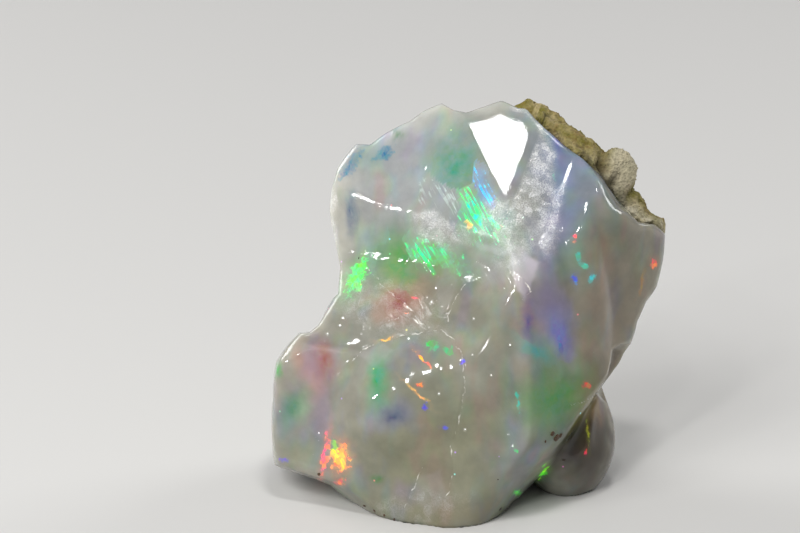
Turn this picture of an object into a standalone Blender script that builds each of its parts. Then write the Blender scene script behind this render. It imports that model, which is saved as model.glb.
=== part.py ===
"""A rough Ethiopian opal: one broken lump of precious opal with a rind of its host rock.

The lump is described from its heart, a point well inside it. In every direction the stone
reaches a certain distance, and that distance is shaped by a rounded body, flat breaks, curved
breaks and lobes. Lengths below are millimetres and are turned into metres at the end.
"""

import math
import random

import bmesh
import bpy
import numpy as np
from mathutils import Vector, noise

MM = 0.001

# The stone's three directions: across, up along its face, and into the stone from the front.
LEAN = math.radians(18.0)
ACROSS = np.array([1.0, 0.0, 0.0])
UP_FACE = np.array([0.0, 0.155, 1.0])
INWARD = np.array([0.0, math.cos(LEAN), -math.sin(LEAN)])

# Where the heart lies: its place over the middle of the stone and its height above the table.
HEART = np.array([-1.05, 0.32, 10.35])

# The swollen body that bounds the breaks: its depths, and how full it is between rim and middle.
FRONT_DEPTH = 11.4
BACK_DEPTH = 9.0
FRONT_FULLNESS = 2.7
BACK_FULLNESS = 2.3

# A high crispness keeps an edge sharp. Valleys between chunks are softer than the ridges.
EDGE_CRISPNESS = {"upper": 45.0, "keel": 26.0, "block": 32.0}
FACE_CRISPNESS = {"right_face": 14.0, "right_shoulder": 14.0, "outer_right_face": 14.0,
                  "lower_right_face": 14.0, "centre_panel": 14.0, "lower_right_keel": 14.0,
                  "mirror_facet": 220.0}
BODY_CRISPNESS = 60.0
JOIN_SOFTNESS = 16.0
HOLLOW_CRISPNESS = 16.0
FAR_AWAY = 60.0
LEAST_REACH = 0.5
LEAST_LEAN = 1e-6
WALL_STEEPNESS = 4.0

# Notches of the outline are sharp at the rim and fade towards the front and the back.
TURNS = np.linspace(-math.pi, math.pi, 360, endpoint=False)
EVEN_SPAN = 17
RIM_FADE = 12.0

SPHERE_STEPS = 7
OPAL_SHARE = 0.085
MATRIX_SHARE = 0.22
NODE_GAP = 0.3

# The widest outline of the opal, across and up the face, anticlockwise from its right shoulder.
OUTLINE = [
    (14.10, 8.20), (12.85, 8.35), (11.45, 9.80), (10.40, 11.40), (9.00, 12.75),
    (7.60, 13.75), (6.30, 14.90), (5.60, 15.60), (4.96, 16.35), (4.44, 16.35),
    (3.26, 16.88), (1.99, 16.42), (0.78, 16.03), (-0.21, 16.24), (-0.99, 16.74),
    (-1.99, 16.31), (-3.33, 15.39), (-4.82, 14.68), (-6.03, 13.83), (-7.02, 13.90),
    (-7.66, 13.19), (-8.30, 12.27), (-8.79, 10.64), (-8.97, 9.22), (-8.65, 7.84),
    (-8.37, 6.31), (-8.09, 5.11), (-8.16, 3.26), (-8.58, 2.98), (-9.22, 1.99),
    (-9.46, 1.06), (-10.14, 0.57), (-10.99, 0.57), (-11.84, -0.28), (-12.66, -1.49),
    (-12.94, -4.26), (-13.00, -6.80), (-12.84, -8.94), (-12.13, -9.22), (-10.43, -9.72),
    (-8.80, -10.20), (-6.75, -11.60), (-4.35, -15.00), (0.35, -17.60), (2.55, -14.40),
    (4.00, -11.70), (5.45, -10.30), (6.40, -9.50), (7.59, -8.37), (8.87, -6.38), (9.72, -4.26),
    (10.57, -3.12), (11.28, -2.13), (11.84, -1.42), (12.55, -0.21), (12.91, 1.35),
    (13.55, 2.70), (14.33, 3.76), (14.75, 5.60), (14.89, 7.45),
]

# The stone is three chunks grown together. Flat breaks bound each one: the way a break faces
# and one point on it.
CHUNKS = {
    "upper": {
        "right_face": ((0.57, 0.33, -0.75), (5.67, 7.80, -6.69)),
        "right_shoulder": ((0.62, 0.24, -0.75), (8.40, 5.60, -5.75)),
        "outer_right_face": ((0.78, 0.08, -0.62), (11.60, 5.00, -3.70)),
        "lower_right_face": ((0.58, 0.02, -0.81), (8.20, 2.00, -6.70)),
        "lower_left_face": ((-0.50, 0.03, -0.865), (-4.90, 9.60, -2.90)),
        "upper_left_face": ((-0.36, 0.40, -0.84), (-8.30, 12.27, -0.25)),
        "frosted_band": ((0.30, 0.46, -0.83), (3.40, 10.70, -5.90)),
        "mirror_facet": ((0.035, 0.566, -0.824), (1.06, 15.40, -2.77)),
        "back_left": ((-0.62, 0.22, 0.75), (-6.50, 4.00, 4.60)),
        "back_right": ((0.58, 0.18, 0.79), (8.60, 3.00, 6.20)),
        "back_top": ((-0.10, 0.72, 0.69), (1.00, 13.00, 5.00)),
    },
    "keel": {
        "keel_top": ((-0.34, 0.62, -0.70), (-2.00, 1.00, -8.00)),
        "keel_left": ((-0.40, 0.08, -0.91), (1.70, -4.00, -9.15)),
        "centre_panel": ((0.30, -0.02, -0.95), (4.50, -4.00, -8.20)),
        "lower_right_keel": ((0.78, -0.20, -0.59), (6.60, -5.00, -7.30)),
        "back_low": ((0.12, -0.58, 0.80), (0.00, -7.00, 6.00)),
    },
    "block": {
        "block_front": ((-0.34, 0.08, -0.94), (-9.70, -4.60, -4.40)),
        "block_top": ((-0.45, 0.86, -0.24), (-11.00, 0.30, 0.00)),
        "block_cap": ((0.00, 0.93, -0.36), (-9.00, 0.60, -1.50)),
        "block_right": ((0.40, 0.10, -0.91), (-6.50, -5.00, -5.60)),
        "block_back": ((-0.45, 0.16, 0.86), (-9.70, -3.60, 3.60)),
    },
}

# Lobes that swell out of the body: middle and half sizes, across, up the face and inward.
LOBES = {
    "right_lobe": ((8.10, -7.10, -0.70), (3.30, 4.35, 4.40)),
}

# The dome swells out after the curved breaks around it.
DOMES = {
    "dome": ((-2.60, -5.50, -2.60), (6.20, 7.00, 5.85)),
}

# Curved breaks, each hollowed out by a ball or an ellipsoid: its middle and its half size.
HOLLOWS = {
    "waist": ((-4.20, 5.40, -16.60), 11.30),
    "foot_left": ((-3.40, -12.60, -13.20), 4.60),
    "foot_right": ((1.20, -13.60, -13.60), 4.40),
    "cleft": ((12.60, -2.60, -2.60), 2.30),
}

# Curved breaks on the hidden sides, at chance places.
CHIP_SEED = 41
CHIP_COUNT = 18
CHIP_RADIUS = (6.0, 14.0)
CHIP_DEPTH = (0.25, 0.70)

# The rind of host rock is a patch about this direction, with this half angle.
RIND_AXIS = (0.586, 0.742, 0.326)
RIND_HALF_ANGLE = math.radians(29.0)
RIND_WANDER = math.radians(3.5)
RIND_THICKNESS = 0.75
RIND_EDGE = 0.25
RIND_LUMPS = 0.35
RIND_LUMP_SIZE = 2.3
KNOB_SPOT = (0.704, 0.708, -0.02)
KNOB_WIDTH = math.radians(5.5)
KNOB_HEIGHT = 1.15
WANDER_PITCH = 5.0
SHOULDER_STEEPNESS = 4.0
STARTING_THICKNESS = 0.01


def clear_scene():
    for thing in list(bpy.data.objects):
        bpy.data.objects.remove(thing, do_unlink=True)


def unit(vector):
    vector = np.asarray(vector, dtype=float)
    return vector / np.linalg.norm(vector)


def softer_min(first, second, crispness):
    """The nearer of two distances, with the edge between them slightly eased."""
    scale = np.minimum(first, second)
    eased = (first / scale) ** -crispness + (second / scale) ** -crispness
    return scale * eased ** (-1.0 / crispness)


def softer_max(first, second):
    """The farther of two distances, with the valley between them filled a little."""
    scale = np.maximum(first, second)
    eased = (first / scale) ** JOIN_SOFTNESS + (second / scale) ** JOIN_SOFTNESS
    return scale * eased ** (1.0 / JOIN_SOFTNESS)


def outline_reach(turn):
    """The distance from the heart to the widest outline, at each turn about the inward axis."""
    points = np.array(OUTLINE)
    turns = np.arctan2(points[:, 1], points[:, 0])
    reaches = np.hypot(points[:, 0], points[:, 1])
    order = np.argsort(turns)
    return np.interp(turn, turns[order], reaches[order], period=2 * math.pi)


def rounded_body(facing):
    """The plain swollen form: the outline at its rim, rounded off to the front and the back."""
    rim = np.hypot(facing[:, 0], facing[:, 1])
    turn = np.arctan2(facing[:, 1], facing[:, 0])
    front = facing[:, 2] < 0
    depth = np.where(front, FRONT_DEPTH, BACK_DEPTH)
    fullness = np.where(front, FRONT_FULLNESS, BACK_FULLNESS)
    even = np.convolve(np.tile(outline_reach(TURNS), 3), np.ones(EVEN_SPAN) / EVEN_SPAN, "same")
    even = np.interp(turn, TURNS, even[len(TURNS):2 * len(TURNS)], period=2 * math.pi)
    near_rim = rim ** RIM_FADE
    wide = (rim / (even + (outline_reach(turn) - even) * near_rim)) ** fullness
    deep = (np.abs(facing[:, 2]) / depth) ** fullness
    return (wide + deep) ** (-1.0 / fullness)


def flat_break(reach, facing, normal, point, crispness):
    normal = unit(normal)
    height = float(np.dot(normal, point))
    lean = np.maximum(facing @ normal, LEAST_LEAN)
    return softer_min(reach, np.minimum(height / lean, FAR_AWAY), crispness)


def crossing(facing, middle, half_sizes):
    """Nearest approach and half chord of each line from the heart through an ellipsoid."""
    sizes = np.asarray(half_sizes, dtype=float) * np.ones(3)
    aim = facing / sizes
    spot = np.asarray(middle, dtype=float) / sizes
    length = (aim**2).sum(axis=1)
    along = (aim @ spot) / length
    inside = along**2 - ((spot**2).sum() - 1.0) / length
    chord = np.sqrt(np.abs(inside)) * np.where(inside > 0, 1.0, -WALL_STEEPNESS)
    return along, chord


def add_lobe(reach, facing, middle, half_sizes):
    along, chord = crossing(facing, middle, half_sizes)
    return softer_max(reach, np.maximum(along + chord, LEAST_REACH))


def take_hollow(reach, facing, middle, radius):
    along, chord = crossing(facing, middle, radius)
    entry = np.where(along > 0, along - chord, FAR_AWAY)
    return softer_min(reach, np.maximum(entry, LEAST_REACH), HOLLOW_CRISPNESS)


def shaped_reach(facing):
    """The reach of the opal before the chance chips and the table."""
    reach = np.full(len(facing), LEAST_REACH)
    for name, faces in CHUNKS.items():
        chunk = np.full(len(facing), FAR_AWAY)
        for face, (normal, point) in faces.items():
            crispness = FACE_CRISPNESS.get(face, EDGE_CRISPNESS[name])
            chunk = flat_break(chunk, facing, normal, point, crispness)
        reach = softer_max(reach, chunk)
    reach = softer_min(reach, rounded_body(facing), BODY_CRISPNESS)
    for middle, half_sizes in LOBES.values():
        reach = add_lobe(reach, facing, middle, half_sizes)
    for middle, radius in HOLLOWS.values():
        reach = take_hollow(reach, facing, middle, radius)
    for middle, half_sizes in DOMES.values():
        reach = add_lobe(reach, facing, middle, half_sizes)
    return reach


def chance_chips():
    """Shallow curved chips over the back and the sides, each a ball that dips into the stone."""
    chance = random.Random(CHIP_SEED)
    chips = []
    for _ in range(CHIP_COUNT):
        spot = unit([chance.uniform(-1, 1), chance.uniform(-0.8, 1), chance.uniform(0.6, 1)])
        radius = chance.uniform(*CHIP_RADIUS)
        dip = chance.uniform(*CHIP_DEPTH)
        surface = float(shaped_reach(spot[None, :])[0])
        chips.append((spot * (surface + radius - dip), radius))
    return chips


def opal_reach(facing):
    reach = shaped_reach(facing)
    for middle, radius in chance_chips():
        reach = take_hollow(reach, facing, middle, radius)
    return reach


def to_stone(face_points):
    """From across, up the face and inward to the upright directions of the finished stone."""
    turned = face_points @ np.array([ACROSS, UP_FACE, INWARD])
    return turned + HEART


def stop_at_table(facing, reach):
    """The stone was rubbed flat where it stands, so nothing reaches below the table."""
    drop = -(facing @ np.array([ACROSS, UP_FACE, INWARD]))[:, 2]
    stop = HEART[2] / np.maximum(drop, LEAST_LEAN)
    return np.where(drop > LEAST_LEAN, np.minimum(reach, stop), reach)


def unit_sphere():
    ball = bmesh.new()
    bmesh.ops.create_icosphere(ball, subdivisions=SPHERE_STEPS, radius=1.0)
    return ball


def facings_of(ball):
    return np.array([vertex.co.normalized() for vertex in ball.verts])


def put_vertices(ball, points):
    for vertex, point in zip(ball.verts, points):
        vertex.co = Vector(point * MM)
        if abs(vertex.co.z) < 2e-6:
            vertex.co.z = 0.0


def simplify(thing, share):
    """Spends the triangles on the edges and saves them on the smooth faces."""
    modifier = thing.modifiers.new("simplify", "DECIMATE")
    modifier.ratio = share
    graph = bpy.context.evaluated_depsgraph_get()
    mesh = bpy.data.meshes.new_from_object(thing.evaluated_get(graph))
    thing.modifiers.clear()
    thing.data = mesh
    for vertex in mesh.vertices:
        if abs(vertex.co.z) < 0.03 * MM:
            vertex.co.z = 0.0


def finished(name, ball, collection, material, share):
    mesh = bpy.data.meshes.new(name)
    ball.normal_update()
    bmesh.ops.recalc_face_normals(ball, faces=ball.faces[:])
    ball.to_mesh(mesh)
    ball.free()
    thing = bpy.data.objects.new(name, mesh)
    collection.objects.link(thing)
    simplify(thing, share)
    thing.data.name = name
    thing.data.materials.clear()
    thing.data.materials.append(material)
    return thing


def plain_material(name, colour, roughness):
    material = bpy.data.materials.new(name)
    material.use_nodes = True
    shader = material.node_tree.nodes["Principled BSDF"]
    shader.inputs["Base Color"].default_value = (*colour, 1.0)
    shader.inputs["Roughness"].default_value = roughness
    return material


def build_opal(collection):
    ball = unit_sphere()
    facing = facings_of(ball)
    reach = stop_at_table(facing, opal_reach(facing))
    put_vertices(ball, to_stone(facing * reach[:, None]))
    glassy = plain_material("milky_opal", (0.42, 0.43, 0.38), 0.12)
    return finished("opal", ball, collection, glassy, OPAL_SHARE)


def lump(spot):
    """Uneven swelling of the rind, from about -1 to 1."""
    return noise.fractal(Vector(spot), 0.8, 2.0, 3)


def rind_thickness(facing, reach):
    """Thin at the ragged edge of the patch, thick and lumpy in its middle, with one knob."""
    axis = unit(RIND_AXIS)
    away = np.arccos(np.clip(facing @ axis, -1, 1)) / RIND_HALF_ANGLE
    shoulder = np.clip((1.0 - away) * SHOULDER_STEEPNESS, 0.0, 1.0)
    shoulder = shoulder * shoulder * (3.0 - 2.0 * shoulder)
    spots = facing * reach[:, None] / RIND_LUMP_SIZE
    lumps = np.array([lump(spot) for spot in spots])
    knob_away = np.arccos(np.clip(facing @ unit(KNOB_SPOT), -1, 1)) / KNOB_WIDTH
    knob = KNOB_HEIGHT * np.exp(-(knob_away**2))
    return RIND_EDGE + shoulder * (RIND_THICKNESS + RIND_LUMPS * lumps + knob)


def in_rind(facing):
    """Which directions lie in the patch. Its edge wanders a little."""
    away = np.arccos(np.clip(facing @ unit(RIND_AXIS), -1, 1))
    wander = np.array([noise.noise(Vector(spot * WANDER_PITCH)) for spot in facing])
    return away + wander * RIND_WANDER < RIND_HALF_ANGLE


def run_edge_along_rim(ball):
    """Moves the vertices at the edge of the patch out to its true rim, so that it isn't stepped."""
    axis = Vector(unit(RIND_AXIS))
    for vertex in ball.verts:
        if not vertex.is_boundary:
            continue
        facing = vertex.co.normalized()
        limit = RIND_HALF_ANGLE - noise.noise(facing * WANDER_PITCH) * RIND_WANDER
        turn = axis.rotation_difference(facing)
        turn.angle = limit
        vertex.co = turn @ axis


def build_matrix(collection):
    ball = unit_sphere()
    facing = facings_of(ball)
    kept = in_rind(facing)
    ball.verts.ensure_lookup_table()
    outside = [vertex for vertex, keep in zip(ball.verts, kept) if not keep]
    bmesh.ops.delete(ball, geom=outside, context="VERTS")
    run_edge_along_rim(ball)
    bmesh.ops.solidify(ball, geom=ball.faces[:], thickness=STARTING_THICKNESS)
    facing = facings_of(ball)
    reach = opal_reach(facing) + NODE_GAP
    thickness = rind_thickness(facing, reach)
    lengths = np.array([vertex.co.length for vertex in ball.verts])
    outer = lengths > lengths.mean()
    reach = np.where(outer, reach + thickness, reach)
    put_vertices(ball, to_stone(facing * reach[:, None]))
    rough = plain_material("host_rock", (0.34, 0.29, 0.16), 0.9)
    return finished("matrix", ball, collection, rough, MATRIX_SHARE)


def main():
    clear_scene()
    collection = bpy.data.collections.new("ethiopian_opal")
    bpy.context.scene.collection.children.link(collection)
    things = [build_opal(collection), build_matrix(collection)]
    for thing in things:
        thing.data.calc_loop_triangles()
        lows = np.min([vertex.co for vertex in thing.data.vertices], axis=0) / MM
        highs = np.max([vertex.co for vertex in thing.data.vertices], axis=0) / MM
        print(thing.name, len(thing.data.loop_triangles), lows.round(2), highs.round(2))


main()
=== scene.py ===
# %% [markdown]
# # A rough Ethiopian opal
# Precious opal from the Ethiopian highlands comes out of the ground as broken lumps. This one is
# milky and translucent, its broken faces are as glossy as glass, patches of pure colour flash
# inside it, and a rind of the brown rock that it grew in still clings to its upper right side.
# The first cell loads the plain solids that everything below is fitted to.

# %% Load the frame
import math
import random

import bmesh
import bpy
import numpy as np
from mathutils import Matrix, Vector, noise


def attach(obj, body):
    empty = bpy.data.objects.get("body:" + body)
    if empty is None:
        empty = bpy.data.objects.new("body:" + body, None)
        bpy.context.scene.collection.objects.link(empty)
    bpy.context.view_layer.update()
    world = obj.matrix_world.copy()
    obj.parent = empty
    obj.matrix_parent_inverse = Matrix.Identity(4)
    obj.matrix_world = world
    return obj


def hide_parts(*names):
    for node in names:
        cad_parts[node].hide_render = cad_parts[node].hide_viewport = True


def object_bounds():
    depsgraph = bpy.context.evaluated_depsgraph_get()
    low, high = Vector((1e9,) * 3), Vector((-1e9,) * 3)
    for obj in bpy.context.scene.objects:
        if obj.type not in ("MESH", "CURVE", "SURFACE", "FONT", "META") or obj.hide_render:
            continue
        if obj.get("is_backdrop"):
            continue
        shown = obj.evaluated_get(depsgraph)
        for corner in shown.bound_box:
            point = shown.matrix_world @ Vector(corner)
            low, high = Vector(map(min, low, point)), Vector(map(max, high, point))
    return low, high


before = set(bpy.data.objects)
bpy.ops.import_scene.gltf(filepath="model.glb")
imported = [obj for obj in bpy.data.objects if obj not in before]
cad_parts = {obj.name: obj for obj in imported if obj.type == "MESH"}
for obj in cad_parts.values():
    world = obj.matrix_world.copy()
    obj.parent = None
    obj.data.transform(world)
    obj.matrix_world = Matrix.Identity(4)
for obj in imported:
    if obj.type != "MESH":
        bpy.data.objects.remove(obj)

CAD_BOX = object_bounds()
MM = 0.001
print("solids:", sorted(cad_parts), [round(side / MM, 1) for side in CAD_BOX[1] - CAD_BOX[0]])

# %% [markdown]
# ## Directions of the stone
# A lump with no straight side is easiest to describe from one point inside it, its heart. Three
# directions go with it: across, up along the face, and inward from the front. Every place on the
# stone below is given in millimetres along these three, so a flash of colour and a hollow can be
# put on the same spot with the same pair of numbers.

# %% The heart and the three directions
LEAN = math.radians(18.0)
ACROSS = np.array([1.0, 0.0, 0.0])
UP_FACE = np.array([0.0, 0.155, 1.0])
INWARD = np.array([0.0, math.cos(LEAN), -math.sin(LEAN)])
AXES = np.array([ACROSS, UP_FACE, INWARD])
HEART = np.array([-1.05, 0.32, 10.35])


def unit(vector):
    vector = np.asarray(vector, dtype=float)
    return vector / np.linalg.norm(vector)


def to_stone(face_points):
    """From across, up the face and inward to upright coordinates, all in millimetres."""
    return face_points @ AXES + HEART


print("heart above the table:", HEART[2], "mm")

# %% [markdown]
# ## The broken form
# The real lump was shaped by breaking. Flat breaks leave planes, curved breaks leave shallow
# shells, and what was never broken keeps the round swelling that opal grows with. All three can
# be written as a distance from the heart in each direction, and the nearest or farthest of them
# wins. It is the same recipe as the plain solids, so the finished skin lies on them. Only two things
# differ: the mirror facet is 0.2 mm deeper here, and the lobe has four small flat breaks.

# %% Outline and breaks
FRONT_DEPTH = 11.4
BACK_DEPTH = 9.0
FRONT_FULLNESS = 2.7
BACK_FULLNESS = 2.3
EDGE_CRISPNESS = {"upper": 45.0, "keel": 26.0, "block": 32.0}
FACE_CRISPNESS = {"right_face": 14.0, "right_shoulder": 14.0, "outer_right_face": 14.0,
                  "lower_right_face": 14.0, "centre_panel": 14.0, "lower_right_keel": 14.0,
                  "mirror_facet": 220.0}
BODY_CRISPNESS = 60.0
JOIN_SOFTNESS = 16.0
HOLLOW_CRISPNESS = 16.0
FAR_AWAY = 60.0
LEAST_REACH = 0.5
LEAST_LEAN = 1e-6
WALL_STEEPNESS = 4.0
TURNS = np.linspace(-math.pi, math.pi, 360, endpoint=False)
EVEN_SPAN = 17
RIM_FADE = 12.0

OUTLINE = [
    (14.10, 8.20), (12.85, 8.35), (11.45, 9.80), (10.40, 11.40), (9.00, 12.75),
    (7.60, 13.75), (6.30, 14.90), (5.60, 15.60), (4.96, 16.35), (4.44, 16.35),
    (3.26, 16.88), (1.99, 16.42), (0.78, 16.03), (-0.21, 16.24), (-0.99, 16.74),
    (-1.99, 16.31), (-3.33, 15.39), (-4.82, 14.68), (-6.03, 13.83), (-7.02, 13.90),
    (-7.66, 13.19), (-8.30, 12.27), (-8.79, 10.64), (-8.97, 9.22), (-8.65, 7.84),
    (-8.37, 6.31), (-8.09, 5.11), (-8.16, 3.26), (-8.58, 2.98), (-9.22, 1.99),
    (-9.46, 1.06), (-10.14, 0.57), (-10.99, 0.57), (-11.84, -0.28), (-12.66, -1.49),
    (-12.94, -4.26), (-13.00, -6.80), (-12.84, -8.94), (-12.13, -9.22), (-10.43, -9.72),
    (-8.80, -10.20), (-6.75, -11.60), (-4.35, -15.00), (0.35, -17.60), (2.55, -14.40),
    (4.00, -11.70), (5.45, -10.30), (6.40, -9.50), (7.59, -8.37), (8.87, -6.38), (9.72, -4.26),
    (10.57, -3.12), (11.28, -2.13), (11.84, -1.42), (12.55, -0.21), (12.91, 1.35),
    (13.55, 2.70), (14.33, 3.76), (14.75, 5.60), (14.89, 7.45),
]

CHUNKS = {
    "upper": {
        "right_face": ((0.57, 0.33, -0.75), (5.67, 7.80, -6.69)),
        "right_shoulder": ((0.62, 0.24, -0.75), (8.40, 5.60, -5.75)),
        "outer_right_face": ((0.78, 0.08, -0.62), (11.60, 5.00, -3.70)),
        "lower_right_face": ((0.58, 0.02, -0.81), (8.20, 2.00, -6.70)),
        "lower_left_face": ((-0.50, 0.03, -0.865), (-4.90, 9.60, -2.90)),
        "upper_left_face": ((-0.36, 0.40, -0.84), (-8.30, 12.27, -0.25)),
        "frosted_band": ((0.30, 0.46, -0.83), (3.40, 10.70, -5.90)),
        "mirror_facet": ((0.035, 0.566, -0.824), (1.06, 15.40, -2.53)),
        "back_left": ((-0.62, 0.22, 0.75), (-6.50, 4.00, 4.60)),
        "back_right": ((0.58, 0.18, 0.79), (8.60, 3.00, 6.20)),
        "back_top": ((-0.10, 0.72, 0.69), (1.00, 13.00, 5.00)),
    },
    "keel": {
        "keel_top": ((-0.34, 0.62, -0.70), (-2.00, 1.00, -8.00)),
        "keel_left": ((-0.40, 0.08, -0.91), (1.70, -4.00, -9.15)),
        "centre_panel": ((0.30, -0.02, -0.95), (4.50, -4.00, -8.20)),
        "lower_right_keel": ((0.78, -0.20, -0.59), (6.60, -5.00, -7.30)),
        "back_low": ((0.12, -0.58, 0.80), (0.00, -7.00, 6.00)),
    },
    "block": {
        "block_front": ((-0.34, 0.08, -0.94), (-9.70, -4.60, -4.40)),
        "block_top": ((-0.45, 0.86, -0.24), (-11.00, 0.30, 0.00)),
        "block_cap": ((0.00, 0.93, -0.36), (-9.00, 0.60, -1.50)),
        "block_right": ((0.40, 0.10, -0.91), (-6.50, -5.00, -5.60)),
        "block_back": ((-0.45, 0.16, 0.86), (-9.70, -3.60, 3.60)),
    },
}

LOBES = {
    "right_lobe": ((8.10, -7.10, -0.70), (3.30, 4.35, 4.40)),
}
LOBE_FACES = {
    "right_lobe": [
        ((0.80, 0.15, -0.58), (10.72, -6.61, -2.60)),
        ((0.72, 0.10, 0.69), (10.53, -6.76, 1.63)),
        ((0.00, 0.25, -0.97), (8.10, -6.12, -4.48)),
        ((0.60, -0.50, -0.62), (10.27, -8.90, -2.94)),
    ],
}
LOBE_CRISPNESS = 60.0

DOMES = {
    "dome": ((-2.60, -5.50, -2.60), (6.20, 7.00, 5.85)),
}

HOLLOWS = {
    "waist": ((-4.20, 5.40, -16.60), 11.30),
    "foot_left": ((-3.40, -12.60, -13.20), 4.60),
    "foot_right": ((1.20, -13.60, -13.60), 4.40),
    "cleft": ((12.60, -2.60, -2.60), 2.30),
}

CHIP_SEED = 41
CHIP_COUNT = 18
CHIP_RADIUS = (6.0, 14.0)
CHIP_DEPTH = (0.25, 0.70)
CHIP_LEAST_FACING = (-1.0, -0.8, 0.6)

print(len(OUTLINE), "outline points,", sum(len(c) for c in CHUNKS.values()), "flat breaks")

# %% Easing where two shapes meet


def softer_min(first, second, crispness):
    """The nearer of two distances, with the edge between them slightly eased."""
    scale = np.minimum(first, second)
    eased = (first / scale) ** -crispness + (second / scale) ** -crispness
    return scale * eased ** (-1.0 / crispness)


def softer_max(first, second):
    """The farther of two distances, with the valley between them filled a little."""
    scale = np.maximum(first, second)
    eased = (first / scale) ** JOIN_SOFTNESS + (second / scale) ** JOIN_SOFTNESS
    return scale * eased ** (1.0 / JOIN_SOFTNESS)


eased_corner = float(softer_min(10.0, 10.0, BODY_CRISPNESS))
print("two reaches of 10 mm meet at", round(eased_corner, 2), "mm")

# %% Outline and rounded body


def outline_reach(turn):
    points = np.array(OUTLINE)
    turns = np.arctan2(points[:, 1], points[:, 0])
    reaches = np.hypot(points[:, 0], points[:, 1])
    order = np.argsort(turns)
    return np.interp(turn, turns[order], reaches[order], period=2 * math.pi)


def rounded_body(facing):
    rim = np.hypot(facing[:, 0], facing[:, 1])
    turn = np.arctan2(facing[:, 1], facing[:, 0])
    front = facing[:, 2] < 0
    depth = np.where(front, FRONT_DEPTH, BACK_DEPTH)
    fullness = np.where(front, FRONT_FULLNESS, BACK_FULLNESS)
    even = np.convolve(np.tile(outline_reach(TURNS), 3), np.ones(EVEN_SPAN) / EVEN_SPAN, "same")
    even = np.interp(turn, TURNS, even[len(TURNS):2 * len(TURNS)], period=2 * math.pi)
    near_rim = rim ** RIM_FADE
    wide = (rim / (even + (outline_reach(turn) - even) * near_rim)) ** fullness
    deep = (np.abs(facing[:, 2]) / depth) ** fullness
    return (wide + deep) ** (-1.0 / fullness)


print("outline reach to the right:", round(float(outline_reach(0.0)), 2), "mm")

# %% Flat breaks, lobes and hollows


def flat_break(reach, facing, normal, point, crispness):
    normal = unit(normal)
    height = float(np.dot(normal, point))
    lean = np.maximum(facing @ normal, LEAST_LEAN)
    return softer_min(reach, np.minimum(height / lean, FAR_AWAY), crispness)


def crossing(facing, middle, half_sizes):
    """Nearest approach and half chord of each line from the heart through an ellipsoid."""
    sizes = np.asarray(half_sizes, dtype=float) * np.ones(3)
    aim = facing / sizes
    spot = np.asarray(middle, dtype=float) / sizes
    length = (aim**2).sum(axis=1)
    along = (aim @ spot) / length
    inside = along**2 - ((spot**2).sum() - 1.0) / length
    chord = np.sqrt(np.abs(inside)) * np.where(inside > 0, 1.0, -WALL_STEEPNESS)
    return along, chord


def add_lobe(reach, facing, middle, half_sizes, faces=()):
    along, chord = crossing(facing, middle, half_sizes)
    lobe = np.maximum(along + chord, LEAST_REACH)
    for normal, point in faces:
        lobe = flat_break(lobe, facing, normal, point, LOBE_CRISPNESS)
    return softer_max(reach, lobe)


def take_hollow(reach, facing, middle, radius):
    along, chord = crossing(facing, middle, radius)
    entry = np.where(along > 0, along - chord, FAR_AWAY)
    return softer_min(reach, np.maximum(entry, LEAST_REACH), HOLLOW_CRISPNESS)


print("lobes:", list(LOBES), "hollows:", list(HOLLOWS))

# %% Reach of the stone in each direction


def shaped_reach(facing):
    reach = np.full(len(facing), LEAST_REACH)
    for name, faces in CHUNKS.items():
        chunk = np.full(len(facing), FAR_AWAY)
        for face, (normal, point) in faces.items():
            crispness = FACE_CRISPNESS.get(face, EDGE_CRISPNESS[name])
            chunk = flat_break(chunk, facing, normal, point, crispness)
        reach = softer_max(reach, chunk)
    reach = softer_min(reach, rounded_body(facing), BODY_CRISPNESS)
    for name, (middle, half_sizes) in LOBES.items():
        reach = add_lobe(reach, facing, middle, half_sizes, LOBE_FACES[name])
    for middle, radius in HOLLOWS.values():
        reach = take_hollow(reach, facing, middle, radius)
    for middle, half_sizes in DOMES.values():
        reach = add_lobe(reach, facing, middle, half_sizes)
    return reach


def chance_chips():
    chance = random.Random(CHIP_SEED)
    chips = []
    for _ in range(CHIP_COUNT):
        spot = unit([chance.uniform(least, 1) for least in CHIP_LEAST_FACING])
        radius = chance.uniform(*CHIP_RADIUS)
        dip = chance.uniform(*CHIP_DEPTH)
        surface = float(shaped_reach(spot[None, :])[0])
        chips.append((spot * (surface + radius - dip), radius))
    return chips


CHIPS = chance_chips()


def opal_reach(facing):
    reach = shaped_reach(facing)
    for middle, radius in CHIPS:
        reach = take_hollow(reach, facing, middle, radius)
    return reach


def stop_at_table(facing, reach):
    """The stone stands on a flat underside, so nothing reaches below the table."""
    drop = -(facing @ AXES)[:, 2]
    stop = HEART[2] / np.maximum(drop, LEAST_LEAN)
    return np.where(drop > LEAST_LEAN, np.minimum(reach, stop), reach)


print("reach to the front:", round(float(opal_reach(np.array([[0.0, 0.0, -1.0]]))[0]), 2), "mm")

# %% [markdown]
# ## Finding a place on the front
# Lamps, specks and cracks belong to spots of the visible face. A spot is given across and up the
# face, and this helper walks inward from the front until it meets the stone. Three such walks
# close together also give the direction that the surface faces there.

# %% A spot on the front face
WALK = np.linspace(-13.0, 13.0, 1301)
NEARBY = 0.4


def front_depth(across, up):
    """Depth where a line from the front first meets the stone, found between two steps."""
    path = np.stack([np.full_like(WALK, across), np.full_like(WALK, up), WALK], axis=1)
    away = np.linalg.norm(path, axis=1)
    outside = away - opal_reach(path / away[:, None])
    first = int(np.argmax(outside <= 0))
    share = outside[first - 1] / (outside[first - 1] - outside[first])
    return float(WALK[first - 1] + share * (WALK[first] - WALK[first - 1]))


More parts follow.
